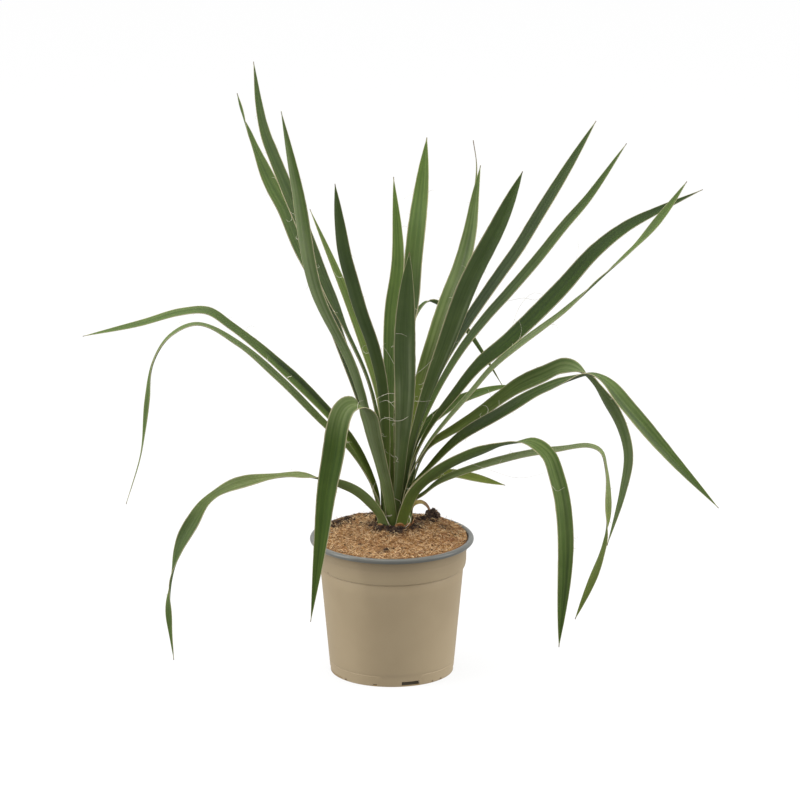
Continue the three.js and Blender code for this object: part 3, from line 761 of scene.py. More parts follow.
def makeStem(setup):
    s = setup
    line = [(s["radius"] * 0.55, s["bottom"]), (s["radius"], s["bottom"] + 14)]
    line += [(s["radius"] - 0.2, z) for z in (140, 150, 156, 160, 163, 165, 167, 168.5, 170)]
    line += [(s["radius"] - 0.6, 171.2), (s["radius"] - 1.6, s["top"] - 0.2)]
    line += [(s["radius"] * share, s["top"] - 0.15) for share in (0.8, 0.65, 0.5, 0.35, 0.2, 0.05)]
    stem = drawRings("stem_sheath", line, s["sides"])
    co = pointsOf(stem) / mm
    angle = np.arctan2(co[:, 1], co[:, 0])
    places = [(math.cos(a) * 7, math.sin(a) * 7, z * 0.08) for a, z in zip(angle, co[:, 2])]
    rough = np.array([noise.noise(Vector(place)) for place in places])
    fray = np.array([noise.noise(Vector((x * 0.5, y * 0.5, 2.0))) for x, y in co[:, :2]])
    reach = 1 - 0.035 * (0.5 + rough) * smoothstep(co[:, 2], 150, 160)
    co[:, 0] = co[:, 0] * reach + crown[0]
    co[:, 1] = co[:, 1] * reach + crown[1]
    co[:, 2] += np.where(co[:, 2] > 171, -0.25 + 0.4 * fray, 0)
    placePoints(stem, co * mm)
    shadeSmooth(stem, 60)
    stem.data.materials.clear()
    stem.data.materials.append(barkMaterial(s))
    return settle(stem, "stem_sheath", "stem_base")


makeStem(stemSetup)
print("peat and stem done")

# the leaves: the rings they sit on round the crown, what they share, and their colours
leafSetup = {
    "rings": [19, 15.2, 11.4, 7.6, 3.8, 21.2], "seatHeight": 172.3,
    "seatThickness": 1.8, "thickness": 1.4, "tipThickness": 0.7, "tipWidth": 0.9, "taper": 2.1,
    "fold": 0.13, "cup": 1.35, "waveTurns": 5,
    "pleat": 0.045, "pleats": 9,       # height of the fine pleats and their number
    "columns": 16, "rowLength": 4.2,
    # deep is the colour of the painted shade on the blades; the bloom colour is their grey waxy bloom
    # together with painted sheen
    "deep": (0.013, 0.028, 0.005), "green": (0.050, 0.096, 0.013), "light": (0.104, 0.160, 0.026),
    "bloomAndSheen": (0.255, 0.280, 0.175), "base": (0.155, 0.185, 0.016), "margin": (0.55, 0.47, 0.31),
    "under": (0.078, 0.120, 0.036), "dry": (0.13, 0.085, 0.040),
}
# each leaf: its ring and azimuth on the stem, its widths, where it is widest, its roll at even steps
# and its route, in mm and degrees
leafTable = [
    {"name": "leaf_left_high_arch", "ring": 0, "seat": 165, "seatWidth": 11, "widest": 15,
     "peak": 0.5, "taper": 3.6,
     "roll": [0, -20, -30, -36, -44, -28, -18, -22, -28, -32, -30],
     "route": [(-18, 22, 204), (-43, 28, 261), (-95, 38, 321), (-147, 47, 368), (-187, 55, 398),
               (-213, 60, 414), (-245, 66, 411), (-292, 72, 396), (-359, 78, 379)]},
    {"name": "leaf_left_hanging", "ring": 0, "seat": 204, "seatWidth": 10, "widest": 12, "peak": 0.5,
     "roll": [0, -20, -40, -45, -42, -26, -2, 12, -35, 5, -10],
     "route": [(-16, 8, 201), (-48, 5, 263), (-83, -6, 303), (-128, -22, 355), (-176, -37, 402),
               (-222, -54, 430), (-253, -62, 418), (-272, -66, 389), (-279, -67, 344), (-287, -67, 280),
               (-305, -62, 218)]},
    {"name": "leaf_left_low_wavy", "ring": 0, "seat": 238, "seatWidth": 11, "widest": 19,
     "peak": 0.6, "wave": 2.3,
     "roll": [0, 50, 44, -10, -20, -12, -32, -14, 18, -32, -32],
     "route": [(-16, -4, 191), (-37, -6, 214), (-60, -8, 226), (-106, -14, 238), (-146, -24, 238),
               (-186, -36, 231), (-213, -46, 216), (-229, -52, 193), (-243, -56, 167), (-254, -58, 128),
               (-257, -60, 90), (-252, -60, 29)]},
    {"name": "leaf_front_folded", "ring": 1, "seat": 264, "seatWidth": 12, "widest": 26,
     "peak": 0.55, "taper": 1.5,
     "roll": [0, 0, 5, 15, 15, -25, -30, -30, -30, -30, -30, -30, -30],
     "route": [(-4, -6, 212), (-12, -18, 250), (-21, -38, 292), (-26, -52, 318), (-31, -60, 331.5),
               (-38, -66, 339), (-46.5, -72, 340.5), (-54, -78, 336.5), (-59.5, -84, 326),
               (-63, -88, 311), (-67, -92, 285), (-74, -98, 246), (-81, -105, 188), (-93, -112, 92)]},
    {"name": "leaf_front_right_hanging", "ring": 0, "seat": 292, "seatWidth": 14, "widest": 19,
     "peak": 0.7,
     "roll": [0, -15, -40, -45, -15, 32, 45, 45, 50, 50, 50],
     "route": [(15, -6, 191), (26, -13, 218), (45, -20, 239), (70, -29, 258), (103, -41, 276),
               (136, -54, 289), (160, -66, 293), (179, -76, 281), (188, -82, 259), (195, -90, 231),
               (199, -98, 180), (192, -104, 59)]},
    {"name": "leaf_right_thin_hanging", "ring": 0, "seat": 334, "seatWidth": 9, "widest": 12,
     "peak": 0.85,
     "roll": [0, 25, 48, 48, 34, 14, -5, 25, -35, -60, -60],
     "route": [(22, 5, 198), (38, 2, 212), (56, 0, 227), (90, -2, 242), (148, -6, 260), (194, -12, 269),
               (228, -20, 275), (241, -23, 269), (247, -26, 248), (249, -31, 213), (248, -34, 178),
               (240, -36, 143), (212, -40, 72)]},
    {"name": "leaf_right_long_arch", "ring": 1, "seat": 310, "seatWidth": 11.4, "widest": 20,
     "peak": 0.65,
     "roll": [0, 30, 46, 52, 46, 26, -12, 30, 46, 48, 48],
     "route": [(20, -6, 218), (42, -8, 244.5), (78, -22, 286), (124, -42, 320.5), (169, -62, 353),
               (203, -76, 371), (226, -86, 380), (243, -94, 374), (268, -104, 347), (320, -116, 288),
               (372, -130, 234)]},
    {"name": "leaf_right_drooping", "ring": 1, "seat": 354, "seatWidth": 9, "widest": 23, "peak": 0.55,
     "roll": [0, 5, 8, 32, 42, 42, 50, 38, -35, -58, -55, -55, -55, -55],
     "route": [(21, 11.5, 210), (26, 6, 230), (31.5, 1.5, 248), (40.5, 0.5, 265), (51, 1, 275.5),
               (67, 0, 286), (96, -6, 306), (124, -14, 330), (147, -20, 348), (174, -28, 363),
               (198, -32, 374), (221, -36, 367), (244, -38, 339), (262, -42, 308), (271, -46, 272),
               (265, -48, 228), (248, -52, 165)]},
    {"name": "leaf_back_right_short", "ring": 0, "seat": 10, "seatWidth": 8, "widest": 14,
     "peak": 0.72, "taper": 1.7,
     "roll": [0, 30, 30],
     "route": [(26, 22, 200), (44, 25, 222), (64, 30, 227), (91, 40, 220), (132, 56, 205)]},
    {"name": "leaf_back_thin_arch", "ring": 1, "seat": 74, "seatWidth": 8, "widest": 8, "peak": 0.6,
     "roll": [0, 0, -10, -40, -40],
     "route": [(9, 66, 248), (17, 112, 330), (26, 132, 386), (42, 138, 405), (57, 143, 400),
               (74, 150, 385), (90, 158, 362), (108, 166, 332), (131, 175, 290)]},
    {"name": "leaf_back_arch", "ring": 0, "seat": 102, "seatWidth": 11, "widest": 22, "peak": 0.55,
     "roll": [0, 0, 0],
     "route": [(-4, 50, 207), (4, 112, 280), (9, 190, 318), (8, 262, 285), (4, 300, 215), (0, 318, 150)]},
    {"name": "leaf_back_low_arch", "ring": 0, "seat": 62, "seatWidth": 10, "widest": 20, "peak": 0.55,
     "roll": [0, 0, 0],
     "route": [(14, 44, 194), (18, 86, 212), (20, 142, 222), (20, 205, 204), (20, 240, 168)]},
    {"name": "leaf_front_upright", "ring": 2, "seat": 259, "seatWidth": 8.5, "widest": 25,
     "peak": 0.6, "taper": 2.5,
     "roll": [0, 0, 0],
     "route": [(7, 0, 216), (11, -14, 269), (15, -40, 336), (15, -72, 416), (17, -98, 480),
               (20, -118, 532)]},
    {"name": "leaf_left_grey", "ring": 1, "seat": 215, "seatWidth": 8, "widest": 20,
     "peak": 0.72, "taper": 1.9,
     "roll": [0, 10, 10, 10],
     "route": [(-11, 4, 220), (-23, -12, 285), (-45, -34, 372), (-87, -58, 472), (-107, -86, 596),
               (-124, -104, 692)]},
    {"name": "leaf_left_outer_tall", "ring": 1, "seat": 150, "seatWidth": 10, "widest": 24,
     "peak": 0.7, "taper": 2.2,
     "roll": [0, -10, -10, -10, -10, -10, -10, -10, -10, 12, 90],
     "route": [(-12, 33, 235), (-37, 55, 311), (-61, 70, 376), (-84, 85, 437), (-108, 93, 484),
               (-125, 101, 525), (-140, 107, 552), (-157, 115, 591), (-170, 122, 625), (-179, 128, 657)]},
    {"name": "leaf_left_tallest", "ring": 2, "seat": 160, "seatWidth": 9, "widest": 20,
     "peak": 0.76, "taper": 3,
     "roll": [0, 0, 5, 16, 15, -14, -20, -19, -13, -5, 0],
     "route": [(-9, 24, 240), (-26, 36, 332), (-55, 42, 400), (-79, 46, 456), (-102, 56, 513),
               (-121, 64, 558), (-136, 72, 594), (-147, 78, 623), (-154, 84, 657), (-159, 92, 703)]},
    {"name": "leaf_left_thin", "ring": 1, "seat": 112, "seatWidth": 8, "widest": 13,
     "peak": 0.5, "taper": 2.6,
     "roll": [0, 0, 0],
     "route": [(-4, 48, 232), (-14, 88, 305), (-31, 115, 354), (-55, 145, 414), (-96, 180, 505)]},
    {"name": "leaf_left_dark", "ring": 2, "seat": 212, "seatWidth": 8, "widest": 20.5,
     "peak": 0.68, "taper": 2.6,
     "roll": [0, 0, 0],
     "route": [(-6, 0, 240), (-8, -12, 300), (-12, -20, 351), (-22, -29, 397), (-36, -40, 441),
               (-45, -48, 475), (-54, -58, 513), (-59, -68, 551), (-64, -84, 603)]},
    {"name": "leaf_back_upright", "ring": 4, "seat": 190, "seatWidth": 6, "widest": 16, "peak": 0.65,
     "roll": [0, 0, 0],
     "route": [(-1, 26, 232), (-3, 64, 324), (-1, 96, 400), (7, 118, 460), (2, 156, 550)]},
    {"name": "leaf_back_upright_wide", "ring": 3, "seat": 122, "seatWidth": 8, "widest": 21.5,
     "peak": 0.7, "taper": 2.6,
     "roll": [0, 0, 0],
     "route": [(4, 40, 234), (11, 68, 320), (15, 84, 373), (22, 112, 413), (25, 136, 453), (29, 156, 487),
               (34, 186, 522), (41, 222, 581)]},
    {"name": "leaf_back_right_dry_tip", "ring": 2, "seat": 92, "seatWidth": 8, "widest": 11,
     "peak": 0.45, "taper": 1,
     "roll": [0, 20, 20],
     "route": [(17, 42, 231), (35, 74, 316), (49, 94, 372), (63, 120, 408), (79, 142, 446),
               (89, 158, 484), (96, 173, 522), (99, 185, 556), (95, 192, 585)]},
    {"name": "leaf_right_upright", "ring": 4, "seat": 60, "seatWidth": 6, "widest": 22,
     "peak": 0.55, "taper": 2.6,
     "roll": [0, 20, 20],
     "route": [(12, 29, 243), (34, 56, 326), (51, 66, 379), (65, 84, 418), (81, 106, 456), (91, 120, 494),
               (97, 131, 533), (103, 140, 568)]},
    {"name": "leaf_right_dark_wide", "ring": 3, "seat": 280, "seatWidth": 6, "widest": 28.5,
     "peak": 0.68, "taper": 2.9,
     "roll": [0, -25, -25],
     "route": [(18, 4, 249), (36, -8, 320), (63, -26, 400), (89, -46, 477), (121, -64, 548),
               (148, -82, 617)]},
    {"name": "leaf_right_outer_tall", "ring": 3, "seat": 34, "seatWidth": 6, "widest": 17,
     "peak": 0.68, "taper": 2.8,
     "roll": [0, 25, 25, 30],
     "route": [(18, 21, 235), (38, 26, 314), (62, 27, 368), (90, 30, 414), (124, 41, 462), (146, 52, 491),
               (170, 66, 528), (195, 84, 565), (236, 108, 629)]},
    {"name": "leaf_right_tall_folded", "ring": 3, "seat": 338, "seatWidth": 6, "widest": 14,
     "peak": 0.6, "taper": 3.4,
     "roll": [0, 40, 50, 50],
     "route": [(22, 13, 251), (48, 9, 324), (79, 6, 381), (109, 5, 422), (134, 2, 452), (166, -3, 492),
               (198, -8, 535), (224, -14, 568), (267, -24, 635)]},
    {"name": "leaf_right_broad", "ring": 2, "seat": 348, "seatWidth": 7, "widest": 24, "peak": 0.55,
     "roll": [0, 45, 55, 50],
     "route": [(24, 5, 246), (46, -1, 295), (72, -6, 332), (101, -14, 371), (130, -26, 399),
               (164, -42, 437), (195, -56, 474), (231, -74, 521), (266, -92, 555), (301, -106, 578),
               (350, -118, 605)]},
    {"name": "leaf_right_front_pale", "ring": 2, "seat": 303, "seatWidth": 6.5, "widest": 12,
     "peak": 0.88, "taper": 2,
     "roll": [0, 30, 45, 50, 50, 50, 35, 0, 25, 60, 60],
     "route": [(21, -2, 232), (40, -11, 272), (64, -19, 307), (89, -26, 339), (116, -34, 374),
               (148, -48, 406), (197, -68, 450), (238, -88, 495), (276, -114, 539), (307, -132, 582),
               (331, -144, 621)]},
    {"name": "leaf_right_short", "ring": 2, "seat": 50, "seatWidth": 6, "widest": 13, "peak": 0.6,
     "roll": [0, 20, 36, 40, 30],
     "route": [(16, 30, 216), (20.5, 31, 242), (24.5, 28.5, 257), (28.5, 27, 270), (36, 28.5, 282),
               (46, 30, 292), (61, 30, 304), (76, 31, 314.5), (96, 35, 321.5), (125, 48, 326),
               (151, 54, 326)]},
    {"name": "leaf_back_right_inner", "ring": 1, "seat": 37, "seatWidth": 8, "widest": 9, "peak": 0.5,
     "roll": [0, 20, 20],
     "route": [(19, 30, 205), (23, 36, 222), (28, 43, 243)]},
]

# dark, grey and warm at even steps from seat to tip, and stripes along the blade: tone (0 dark, 1 grey,
# 2 warm), middle and reach across it, strength, and the shares of the length where each starts and ends.
# dark is painted shade on the blade's shaded parts; grey is the blade's grey waxy bloom together with
# painted sheen and highlight; the stripes paint shade and highlight along the folds
leafLooks = {
    "leaf_left_high_arch": {"dark": [0.3, 0.3, 0.35, 0.4, 0.3, 0.2], "grey": [0, 0, 0.1, 0.15, 0.2, 0.15],
                            "stripes": [(0, -0.45, 0.45, 0.7, 0.12, 0.48),
                                        (0, 0.75, 0.3, -0.35, 0.1, 0.5)]},
    "leaf_left_hanging": {"dark": [0.3, 0.35, 0.25, 0.2, 0.15], "grey": [0, 0.1, 0.35, 0.3, 0.2, 0.1]},
    "leaf_left_low_wavy": {"dark": [0.1, 0.0, 0.1, 0.45, 0.6, 0.55, 0.45, 0.3, 0.25],
                           "warm": [0.7, 0.5, 0.5, 0.2, 0.0, 0.0, 0.0],
                           "grey": [0.5, 0.5, 0.35, 0.1, 0.1, 0.1]},
    "leaf_front_folded": {"dark": [0.25, 0.1, 0.0, 0.0, 0.35, 0.5, 0.4, 0.35, 0.35, 0.4],
                          "warm": [0.6, 0.5, 0.4, 0.3, 0.1, 0, 0, 0, 0, 0],
                          "grey": [0.1, 0.7, 1, 0.9, 0.3, 0.0, 0, 0, 0, 0],
                          "stripes": [(1, 0.2, 0.35, 0.5, 0.15, 0.38), (0, -0.85, 0.3, 0.5, 0.0, 0.3)]},
    "leaf_front_right_hanging": {"dark": [0.35, 0.35, 0.15, 0.0, 0.05, 0.25, 0.25],
                                 "grey": [0, 0.1, 0.2, 0.2, 0.1, 0],
                                 "warm": [0.9, 0.4, 0.15, 0.05, 0, 0, 0, 0],
                                 "stripes": [(0, 0.35, 0.25, 0.35, 0.55, 1.0)]},
    "leaf_right_thin_hanging": {"dark": [0.2, 0.05, 0.0, 0.0, 0.0], "grey": [0, 0.4, 0.7, 0.6, 0.2, 0.0],
                                "warm": [0.8, 0.3, 0.15, 0.15, 0.4, 1.0, 1.0]},
    "leaf_right_long_arch": {"dark": [0.7, 1.0, 1.0, 0.6, 0.15, 0.15, 0.2],
                             "grey": [0, 0.0, 0.05, 0.2, 0.2, 0.1],
                             "stripes": [(0, -0.45, 0.35, 0.5, 0.55, 1.0)]},
    "leaf_right_drooping": {"dark": [0.5, 0.4, 0.3, 0.35, 0.1, 0.0, 0.0],
                            "grey": [0, 0.05, 0.1, 0.15, 0.6, 0.7, 0.5],
                            "warm": [0.6, 0.5, 0.25, 0.05, 0, 0, 0]},
    "leaf_back_right_short": {"dark": [0.8, 0.9, 0.8], "warm": [0.8, 0.7, 0.6, 0.5], "grey": [0, 0]},
    "leaf_front_upright": {"dark": [0.0, 0.1, 0.55, 0.9, 0.85, 0.6], "grey": [0.3, 0.35, 0.3, 0.15, 0.05],
                           "stripes": [(1, -0.55, 0.28, 1.0, 0.04, 0.5), (1, 0.4, 0.25, 0.7, 0.35, 0.66),
                                       (0, 0.75, 0.2, 0.5, 0.1, 0.4), (0, -0.75, 0.2, -0.5, 0.05, 0.5)]},
    "leaf_left_grey": {"dark": [0.3, 0.1, 0.0, 0.0, 0.1, 0.2], "grey": [0.2, 0.9, 1.5, 1.4, 0.8, 0.3],
                       "stripes": [(1, 0.7, 0.4, -0.7, 0.2, 0.9)]},
    "leaf_left_outer_tall": {"dark": [0.7, 0.95, 0.95, 0.5, 0.25, 0.25]},
    "leaf_left_tallest": {"dark": [0.8, 0.8, 0.7, 0.6, 0.5]},
    "leaf_left_thin": {"dark": [0.2, 0.1, 0.1], "warm": [0.8, 0.4, 0.2, 0.1], "grey": [0.1, 0.1, 0.2]},
    "leaf_left_dark": {"dark": [0.3, 0.8, 1.0, 1.0, 0.7], "warm": [0.9, 0.6, 0.15, 0, 0, 0]},
    "leaf_back_upright": {"dark": [0.5, 0.6, 0.15, 0.0]},
    "leaf_back_upright_wide": {"dark": [0.8, 0.8, 0.75, 0.25, 0.0]},
    "leaf_back_right_dry_tip": {"dark": [0.4, 0.2, 0.2], "dryTip": 34.0},
    "leaf_right_upright": {"dark": [0.3, 0.25, 0.1, 0.05], "warm": [0.9, 0.6, 0.2, 0, 0],
                           "grey": [0, 0, 0.3, 0.4, 0.2],
                           "stripes": [(0, -0.1, 0.22, 0.6, 0.15, 0.8)]},
    "leaf_right_dark_wide": {"dark": [0.2, 0.1, 0.25, 0.6, 0.85, 0.8, 0.65],
                             "warm": [0.5, 0.35, 0.1, 0.0, 0.0, 0.0],
                             "grey": [0.3, 0.35, 0.3, 0.2, 0.15, 0.0],
                             "stripes": [(1, 0.45, 0.2, 0.6, 0.12, 0.62), (0, 0.8, 0.18, 0.5, 0.1, 0.5)]},
    "leaf_right_outer_tall": {"dark": [1.0, 1.0, 1.0, 0.9, 0.7]},
    "leaf_right_tall_folded": {"dark": [0.5, 0.5, 0.8, 0.6, 0.35]},
    "leaf_right_broad": {"dark": [0.9, 0.9, 0.7, 0.75, 0.85], "grey": [0, 0, 0, 0]},
    "leaf_right_front_pale": {"dark": [0.4, 0.1, 0.1, 0.1], "grey": [0.2, 0.5, 0.6, 0.3, 0.1]},
    "leaf_right_short": {"dark": [0.3, 0.2, 0.2]},
}


curveSteps = 1600


def routeCurve(points):
    # a centripetal curve through the points, as fine stations at even spacing
    pts = np.asarray(points, float)
    count = len(pts)
    fine = []
    for step in range(curveSteps + 1):
        place = step / curveSteps * (count - 1)
        index = min(int(place), count - 2)
        weight = place - index
        p1, p2 = pts[index], pts[index + 1]
        p0 = pts[index - 1] if index > 0 else 2 * pts[0] - pts[1]
        p3 = pts[index + 2] if index + 2 < count else 2 * pts[-1] - pts[-2]
        d0, d1, d2 = (max(np.sum((b - a) ** 2) ** 0.25, 1e-4) for a, b in ((p0, p1), (p1, p2), (p2, p3)))
        t1 = ((p1 - p0) / d0 - (p2 - p0) / (d0 + d1) + (p2 - p1) / d1) * d1
        t2 = ((p2 - p1) / d1 - (p3 - p1) / (d1 + d2) + (p3 - p2) / d2) * d1
        w2, w3 = weight * weight, weight ** 3
        fine.append(p1 + t1 * weight + (-3 * p1 + 3 * p2 - 2 * t1 - t2) * w2
                    + (2 * p1 - 2 * p2 + t1 + t2) * w3)
    fine = np.array(fine)
    length = np.concatenate([[0], np.cumsum(np.linalg.norm(np.diff(fine, axis=0), axis=1))])
    return fine, length


def leafWidth(leaf, share):
    peak = leaf["peak"]
    rise = np.sin(np.pi / 2 * np.minimum(share / peak, 1)) ** 2
    run = np.clip((share - peak) / (1 - peak), 0, 1)
    before = leaf["seatWidth"] + (leaf["widest"] - leaf["seatWidth"]) * rise
    after = leaf["widest"] * (1 - run ** leaf.get("taper", leafSetup["taper"]))
    return np.where(share < peak, before, np.maximum(after, leafSetup["tipWidth"]))


routesDrawn = {}


def leafFrame(leaf, share):
    # the centre of the blade and its three directions at each share of its length
    s = leafSetup
    ring = s["rings"][leaf["ring"]]
    angle = math.radians(leaf["seat"])
    seat = (crown[0] + ring * math.cos(angle), crown[1] + ring * math.sin(angle),
            leaf.get("seatHeight", s["seatHeight"]))
    if leaf["name"] not in routesDrawn:
        routesDrawn[leaf["name"]] = routeCurve([seat] + leaf["route"])
    fine, length = routesDrawn[leaf["name"]]
    at = lambda part: np.stack([np.interp(part * length[-1], length, fine[:, i]) for i in range(3)], 1)
    centre = at(share)
    forward = at(np.minimum(share + 0.002, 1)) - at(np.maximum(share - 0.002, 0))
    forward[share == 0] = (0, 0, 1)
    forward /= np.linalg.norm(forward, axis=1)[:, None]
    tip = leaf["route"][-1]
    heading = math.degrees(math.atan2(tip[1] - crown[1], tip[0] - crown[0]))
    turn = (heading - leaf["seat"] + 540) % 360 - 180
    facing = np.radians(leaf["seat"] + turn * smoothstep(share, 0, 0.3))
    across = np.stack([-np.sin(facing), np.cos(facing), np.zeros_like(facing)], 1)
    across -= forward * np.sum(across * forward, 1)[:, None]
    across /= np.linalg.norm(across, axis=1)[:, None]
    roll = np.radians(along(leaf["roll"], share))[:, None]
    across = across * np.cos(roll) + np.cross(forward, across) * np.sin(roll)
    upper = np.cross(forward, across)
    return centre, forward, across, upper, ring, length[-1]


def bladePlace(leaf, share, sideways):
    # a point on the middle surface of the blade: sideways runs from -1 to 1 over its width
    s = leafSetup
    centre, _, across, upper, ring, _ = leafFrame(leaf, share)
    half = leafWidth(leaf, share) / 2
    seatLift = half * half / (2 * ring)
    bladeLift = 2 * half * leaf.get("fold", s["fold"])
    lift = seatLift + (bladeLift - seatLift) * smoothstep(share, 0, 0.25)
    wave = leaf.get("wave", 0) * np.sin(share * s["waveTurns"] * 2 * np.pi) * np.sin(share * np.pi)
    cup = np.abs(sideways) ** s["cup"]
    high = lift * cup - lift / 2 + wave * -np.sign(sideways) * np.abs(sideways) ** 2
    pleat = s["pleat"] * np.cos(sideways * s["pleats"] * np.pi) * (1 - np.abs(sideways) ** 6)
    pleat = pleat * smoothstep(half, 2.5, 6)
    return centre + across * (sideways * half)[:, None] + upper * (high + pleat)[:, None]


def bladeMaterial(name, setup):
    mat, nodes, links, shader = startMaterial(name)
    uv = nodes.new("ShaderNodeTexCoord").outputs["UV"]
    place = nodes.new("ShaderNodeTexCoord").outputs["Object"]
    split = nodes.new("ShaderNodeSeparateXYZ")
    links.new(uv, split.inputs[0])
    dark, grey, warm = toneNode(nodes, links)
    side, tipMark, under = toneNode(nodes, links, "mark")
    vein = noiseNode(nodes, links, stretched(nodes, links, uv, (46, 2.2, 1)), 1.0, 3, 0.6)
    broad = noiseNode(nodes, links, stretched(nodes, links, uv, (7, 3.0, 1)), 1.0, 3, 0.55)
    cloud = noiseNode(nodes, links, place, 30, 4, 0.6)
    color = rampNode(nodes, links, broad, [(0.25, setup["green"]), (0.75, setup["light"])])
    # painted shade: dark mixes in the deep colour
    color = mixNode(nodes, links, dark, color, setup["deep"])
    color = mixNode(nodes, links, warm, color, setup["base"])
    # grey mixes in the bloom colour: grey waxy bloom together with painted sheen and highlight
    uneven = rampNode(nodes, links, broad, [(0.3, (0.35,) * 3), (0.7, (1,) * 3)])
    bloomAndSheen = mathNode(nodes, links, 'MULTIPLY', grey, uneven)
    color = mixNode(nodes, links, bloomAndSheen, color, setup["bloomAndSheen"])
    under = mathNode(nodes, links, 'MULTIPLY', under, 0.55)
    color = mixNode(nodes, links, under, color, setup["under"])
    lines = rampNode(nodes, links, vein, [(0.35, (0.62, 0.66, 0.58)), (0.62, (1.12, 1.10, 1.06))])
    color = mixNode(nodes, links, 0.55, color, lines, 'MULTIPLY')
    shade = rampNode(nodes, links, cloud, [(0.3, (0.82, 0.84, 0.80)), (0.7, (1.08, 1.08, 1.05))])
    color = mixNode(nodes, links, 0.6, color, shade, 'MULTIPLY')
    color = mixNode(nodes, links, side, color, setup["margin"])
    color = mixNode(nodes, links, tipMark, color, setup["dry"])
    links.new(color, shader.inputs["Base Color"])
    rough = nodes.new("ShaderNodeMapRange")
    rough.inputs["To Min"].default_value = 0.48
    rough.inputs["To Max"].default_value = 0.64
    links.new(broad, rough.inputs["Value"])
    links.new(rough.outputs["Result"], shader.inputs["Roughness"])
    shader.inputs["Specular IOR Level"].default_value = 0.16
    shader.inputs["Subsurface Weight"].default_value = 0.12
    shader.inputs["Subsurface Radius"].default_value = (0.6, 1.0, 0.2)
    shader.inputs["Subsurface Scale"].default_value = 0.0015
    links.new(bumpNode(nodes, links, vein, 0.35, 0.0003), shader.inputs["Normal"])
    return mat


leafMaterial = bladeMaterial("yucca_blade", leafSetup)


def makeBlade(leaf, material, pieceName):
    s = leafSetup
    length = leafFrame(leaf, np.array([0.0, 1.0]))[5]
    rows = max(24, int(length / s["rowLength"]))
    clearSelection()
    bpy.ops.mesh.primitive_grid_add(x_subdivisions=s["columns"], y_subdivisions=rows, size=2)
    piece = bpy.context.object
    co = pointsOf(piece)
    share = (co[:, 1] + 1) / 2
    sideways = -co[:, 0]
    # a fine ragged line along the margins
    ragged = np.array([noise.noise(Vector((leaf["seat"], v * length * 0.09, math.copysign(5, u))))
                       for u, v in zip(sideways, share)])
    wide = sideways * (1 + 0.035 * ragged * np.abs(sideways) ** 4)
    placePoints(piece, bladePlace(leaf, share, wide) * mm)
    half = leafWidth(leaf, share) / 2
    edge = np.clip((np.abs(sideways) - 1) * half / 0.55 + 1, 0, 1)
    look = leafLooks.get(leaf["name"], {})
    tone = np.ones((len(co), 4))
    # dark is painted shade, grey is the grey bloom together with painted sheen, and the stripes paint
    # shade and highlight along the blade
    tone[:, 0] = along(look.get("dark", [0.3, 0.3]), share)
    tone[:, 1] = along(look.get("grey", [0.0, 0.05, 0.1, 0.1, 0.05]), share)
    tone[:, 2] = along(look.get("warm", [0.75, 0.25, 0.05, 0.0, 0.0, 0.0, 0.0]), share)
    for channel, middle, reach, strength, start, end in look.get("stripes", []):
        band = np.exp(-(((sideways - middle) / reach) ** 2))
        band = band * smoothstep(share, start - 0.06, start + 0.02)
        band = band * smoothstep(share, end + 0.06, end - 0.02)
        tone[:, channel] = np.clip(tone[:, channel] + strength * band, 0, 1)
    tipLength = look.get("dryTip", 4.0)
    mark = np.ones((len(co), 4))
    mark[:, 0] = edge * look.get("edge", 0.8) * (0.75 + 0.25 * ragged)
    mark[:, 1] = smoothstep((1 - share) * length, tipLength, tipLength * 0.3)
    mark[:, 2] = 0
    thick = s["seatThickness"] + (s["thickness"] - s["seatThickness"]) * smoothstep(share, 0, 0.3)
    thick = thick + (s["tipThickness"] - thick) * smoothstep(share, 0.6, 1)
    thick = thick * (1 - 0.55 * np.abs(sideways) ** 3)
    upperCount = len(co)
    group = piece.vertex_groups.new(name="thickness")
    for index, value in enumerate(thick / s["seatThickness"]):
        group.add([index], float(value), 'REPLACE')
    addTone(piece, tone)
    addTone(piece, mark, "mark")
    mod = piece.modifiers.new("blade", 'SOLIDIFY')
    mod.thickness = s["seatThickness"] * mm
    mod.offset = 0
    mod.vertex_group = "thickness"
    applyAll(piece)
    layer = piece.data.color_attributes["mark"].data
    values = np.zeros(len(piece.data.vertices) * 4, dtype=np.float32)
    layer.foreach_get("color", values)
    values = values.reshape(-1, 4)
    values[upperCount:, 2] = 1
    layer.foreach_set("color", values.ravel())
    shadeSmooth(piece, 60)
    piece.vertex_groups.clear()
    piece.data.materials.clear()
    piece.data.materials.append(material)
    return settle(piece, pieceName, leaf.get("replaces", leaf["name"]))


for leaf in leafTable:
    makeBlade(leaf, leafMaterial, "blade_" + leaf["name"][5:])
print("leaves done,", len(leafTable))

# the old leaf, broken off short and bent down into the peat
stubSetup = {
    "name": "old_leaf_stub", "ring": 0, "seat": 36, "seatWidth": 4.5, "widest": 5.5,
    "peak": 0.9, "fold": 0.1, "roll": [20, 50, 62],
    "route": [(24, 32, 188), (32, 39, 190), (39, 48, 184.5), (44.5, 55, 175)],
}
leafLooks["old_leaf_stub"] = {"dark": [0.0, 0.1], "grey": [0.0, 0.0], "warm": [0.6, 0.8, 0.9],
                              "dryTip": 30.0, "edge": 0.6}
drySetup = dict(leafSetup, green=(0.20, 0.15, 0.05), light=(0.34, 0.26, 0.09), base=(0.36, 0.27, 0.08),
                bloomAndSheen=(0.30, 0.26, 0.16), under=(0.30, 0.22, 0.09), dry=(0.16, 0.085, 0.035))
makeBlade(stubSetup, bladeMaterial("old_leaf", drySetup), "stub_blade")

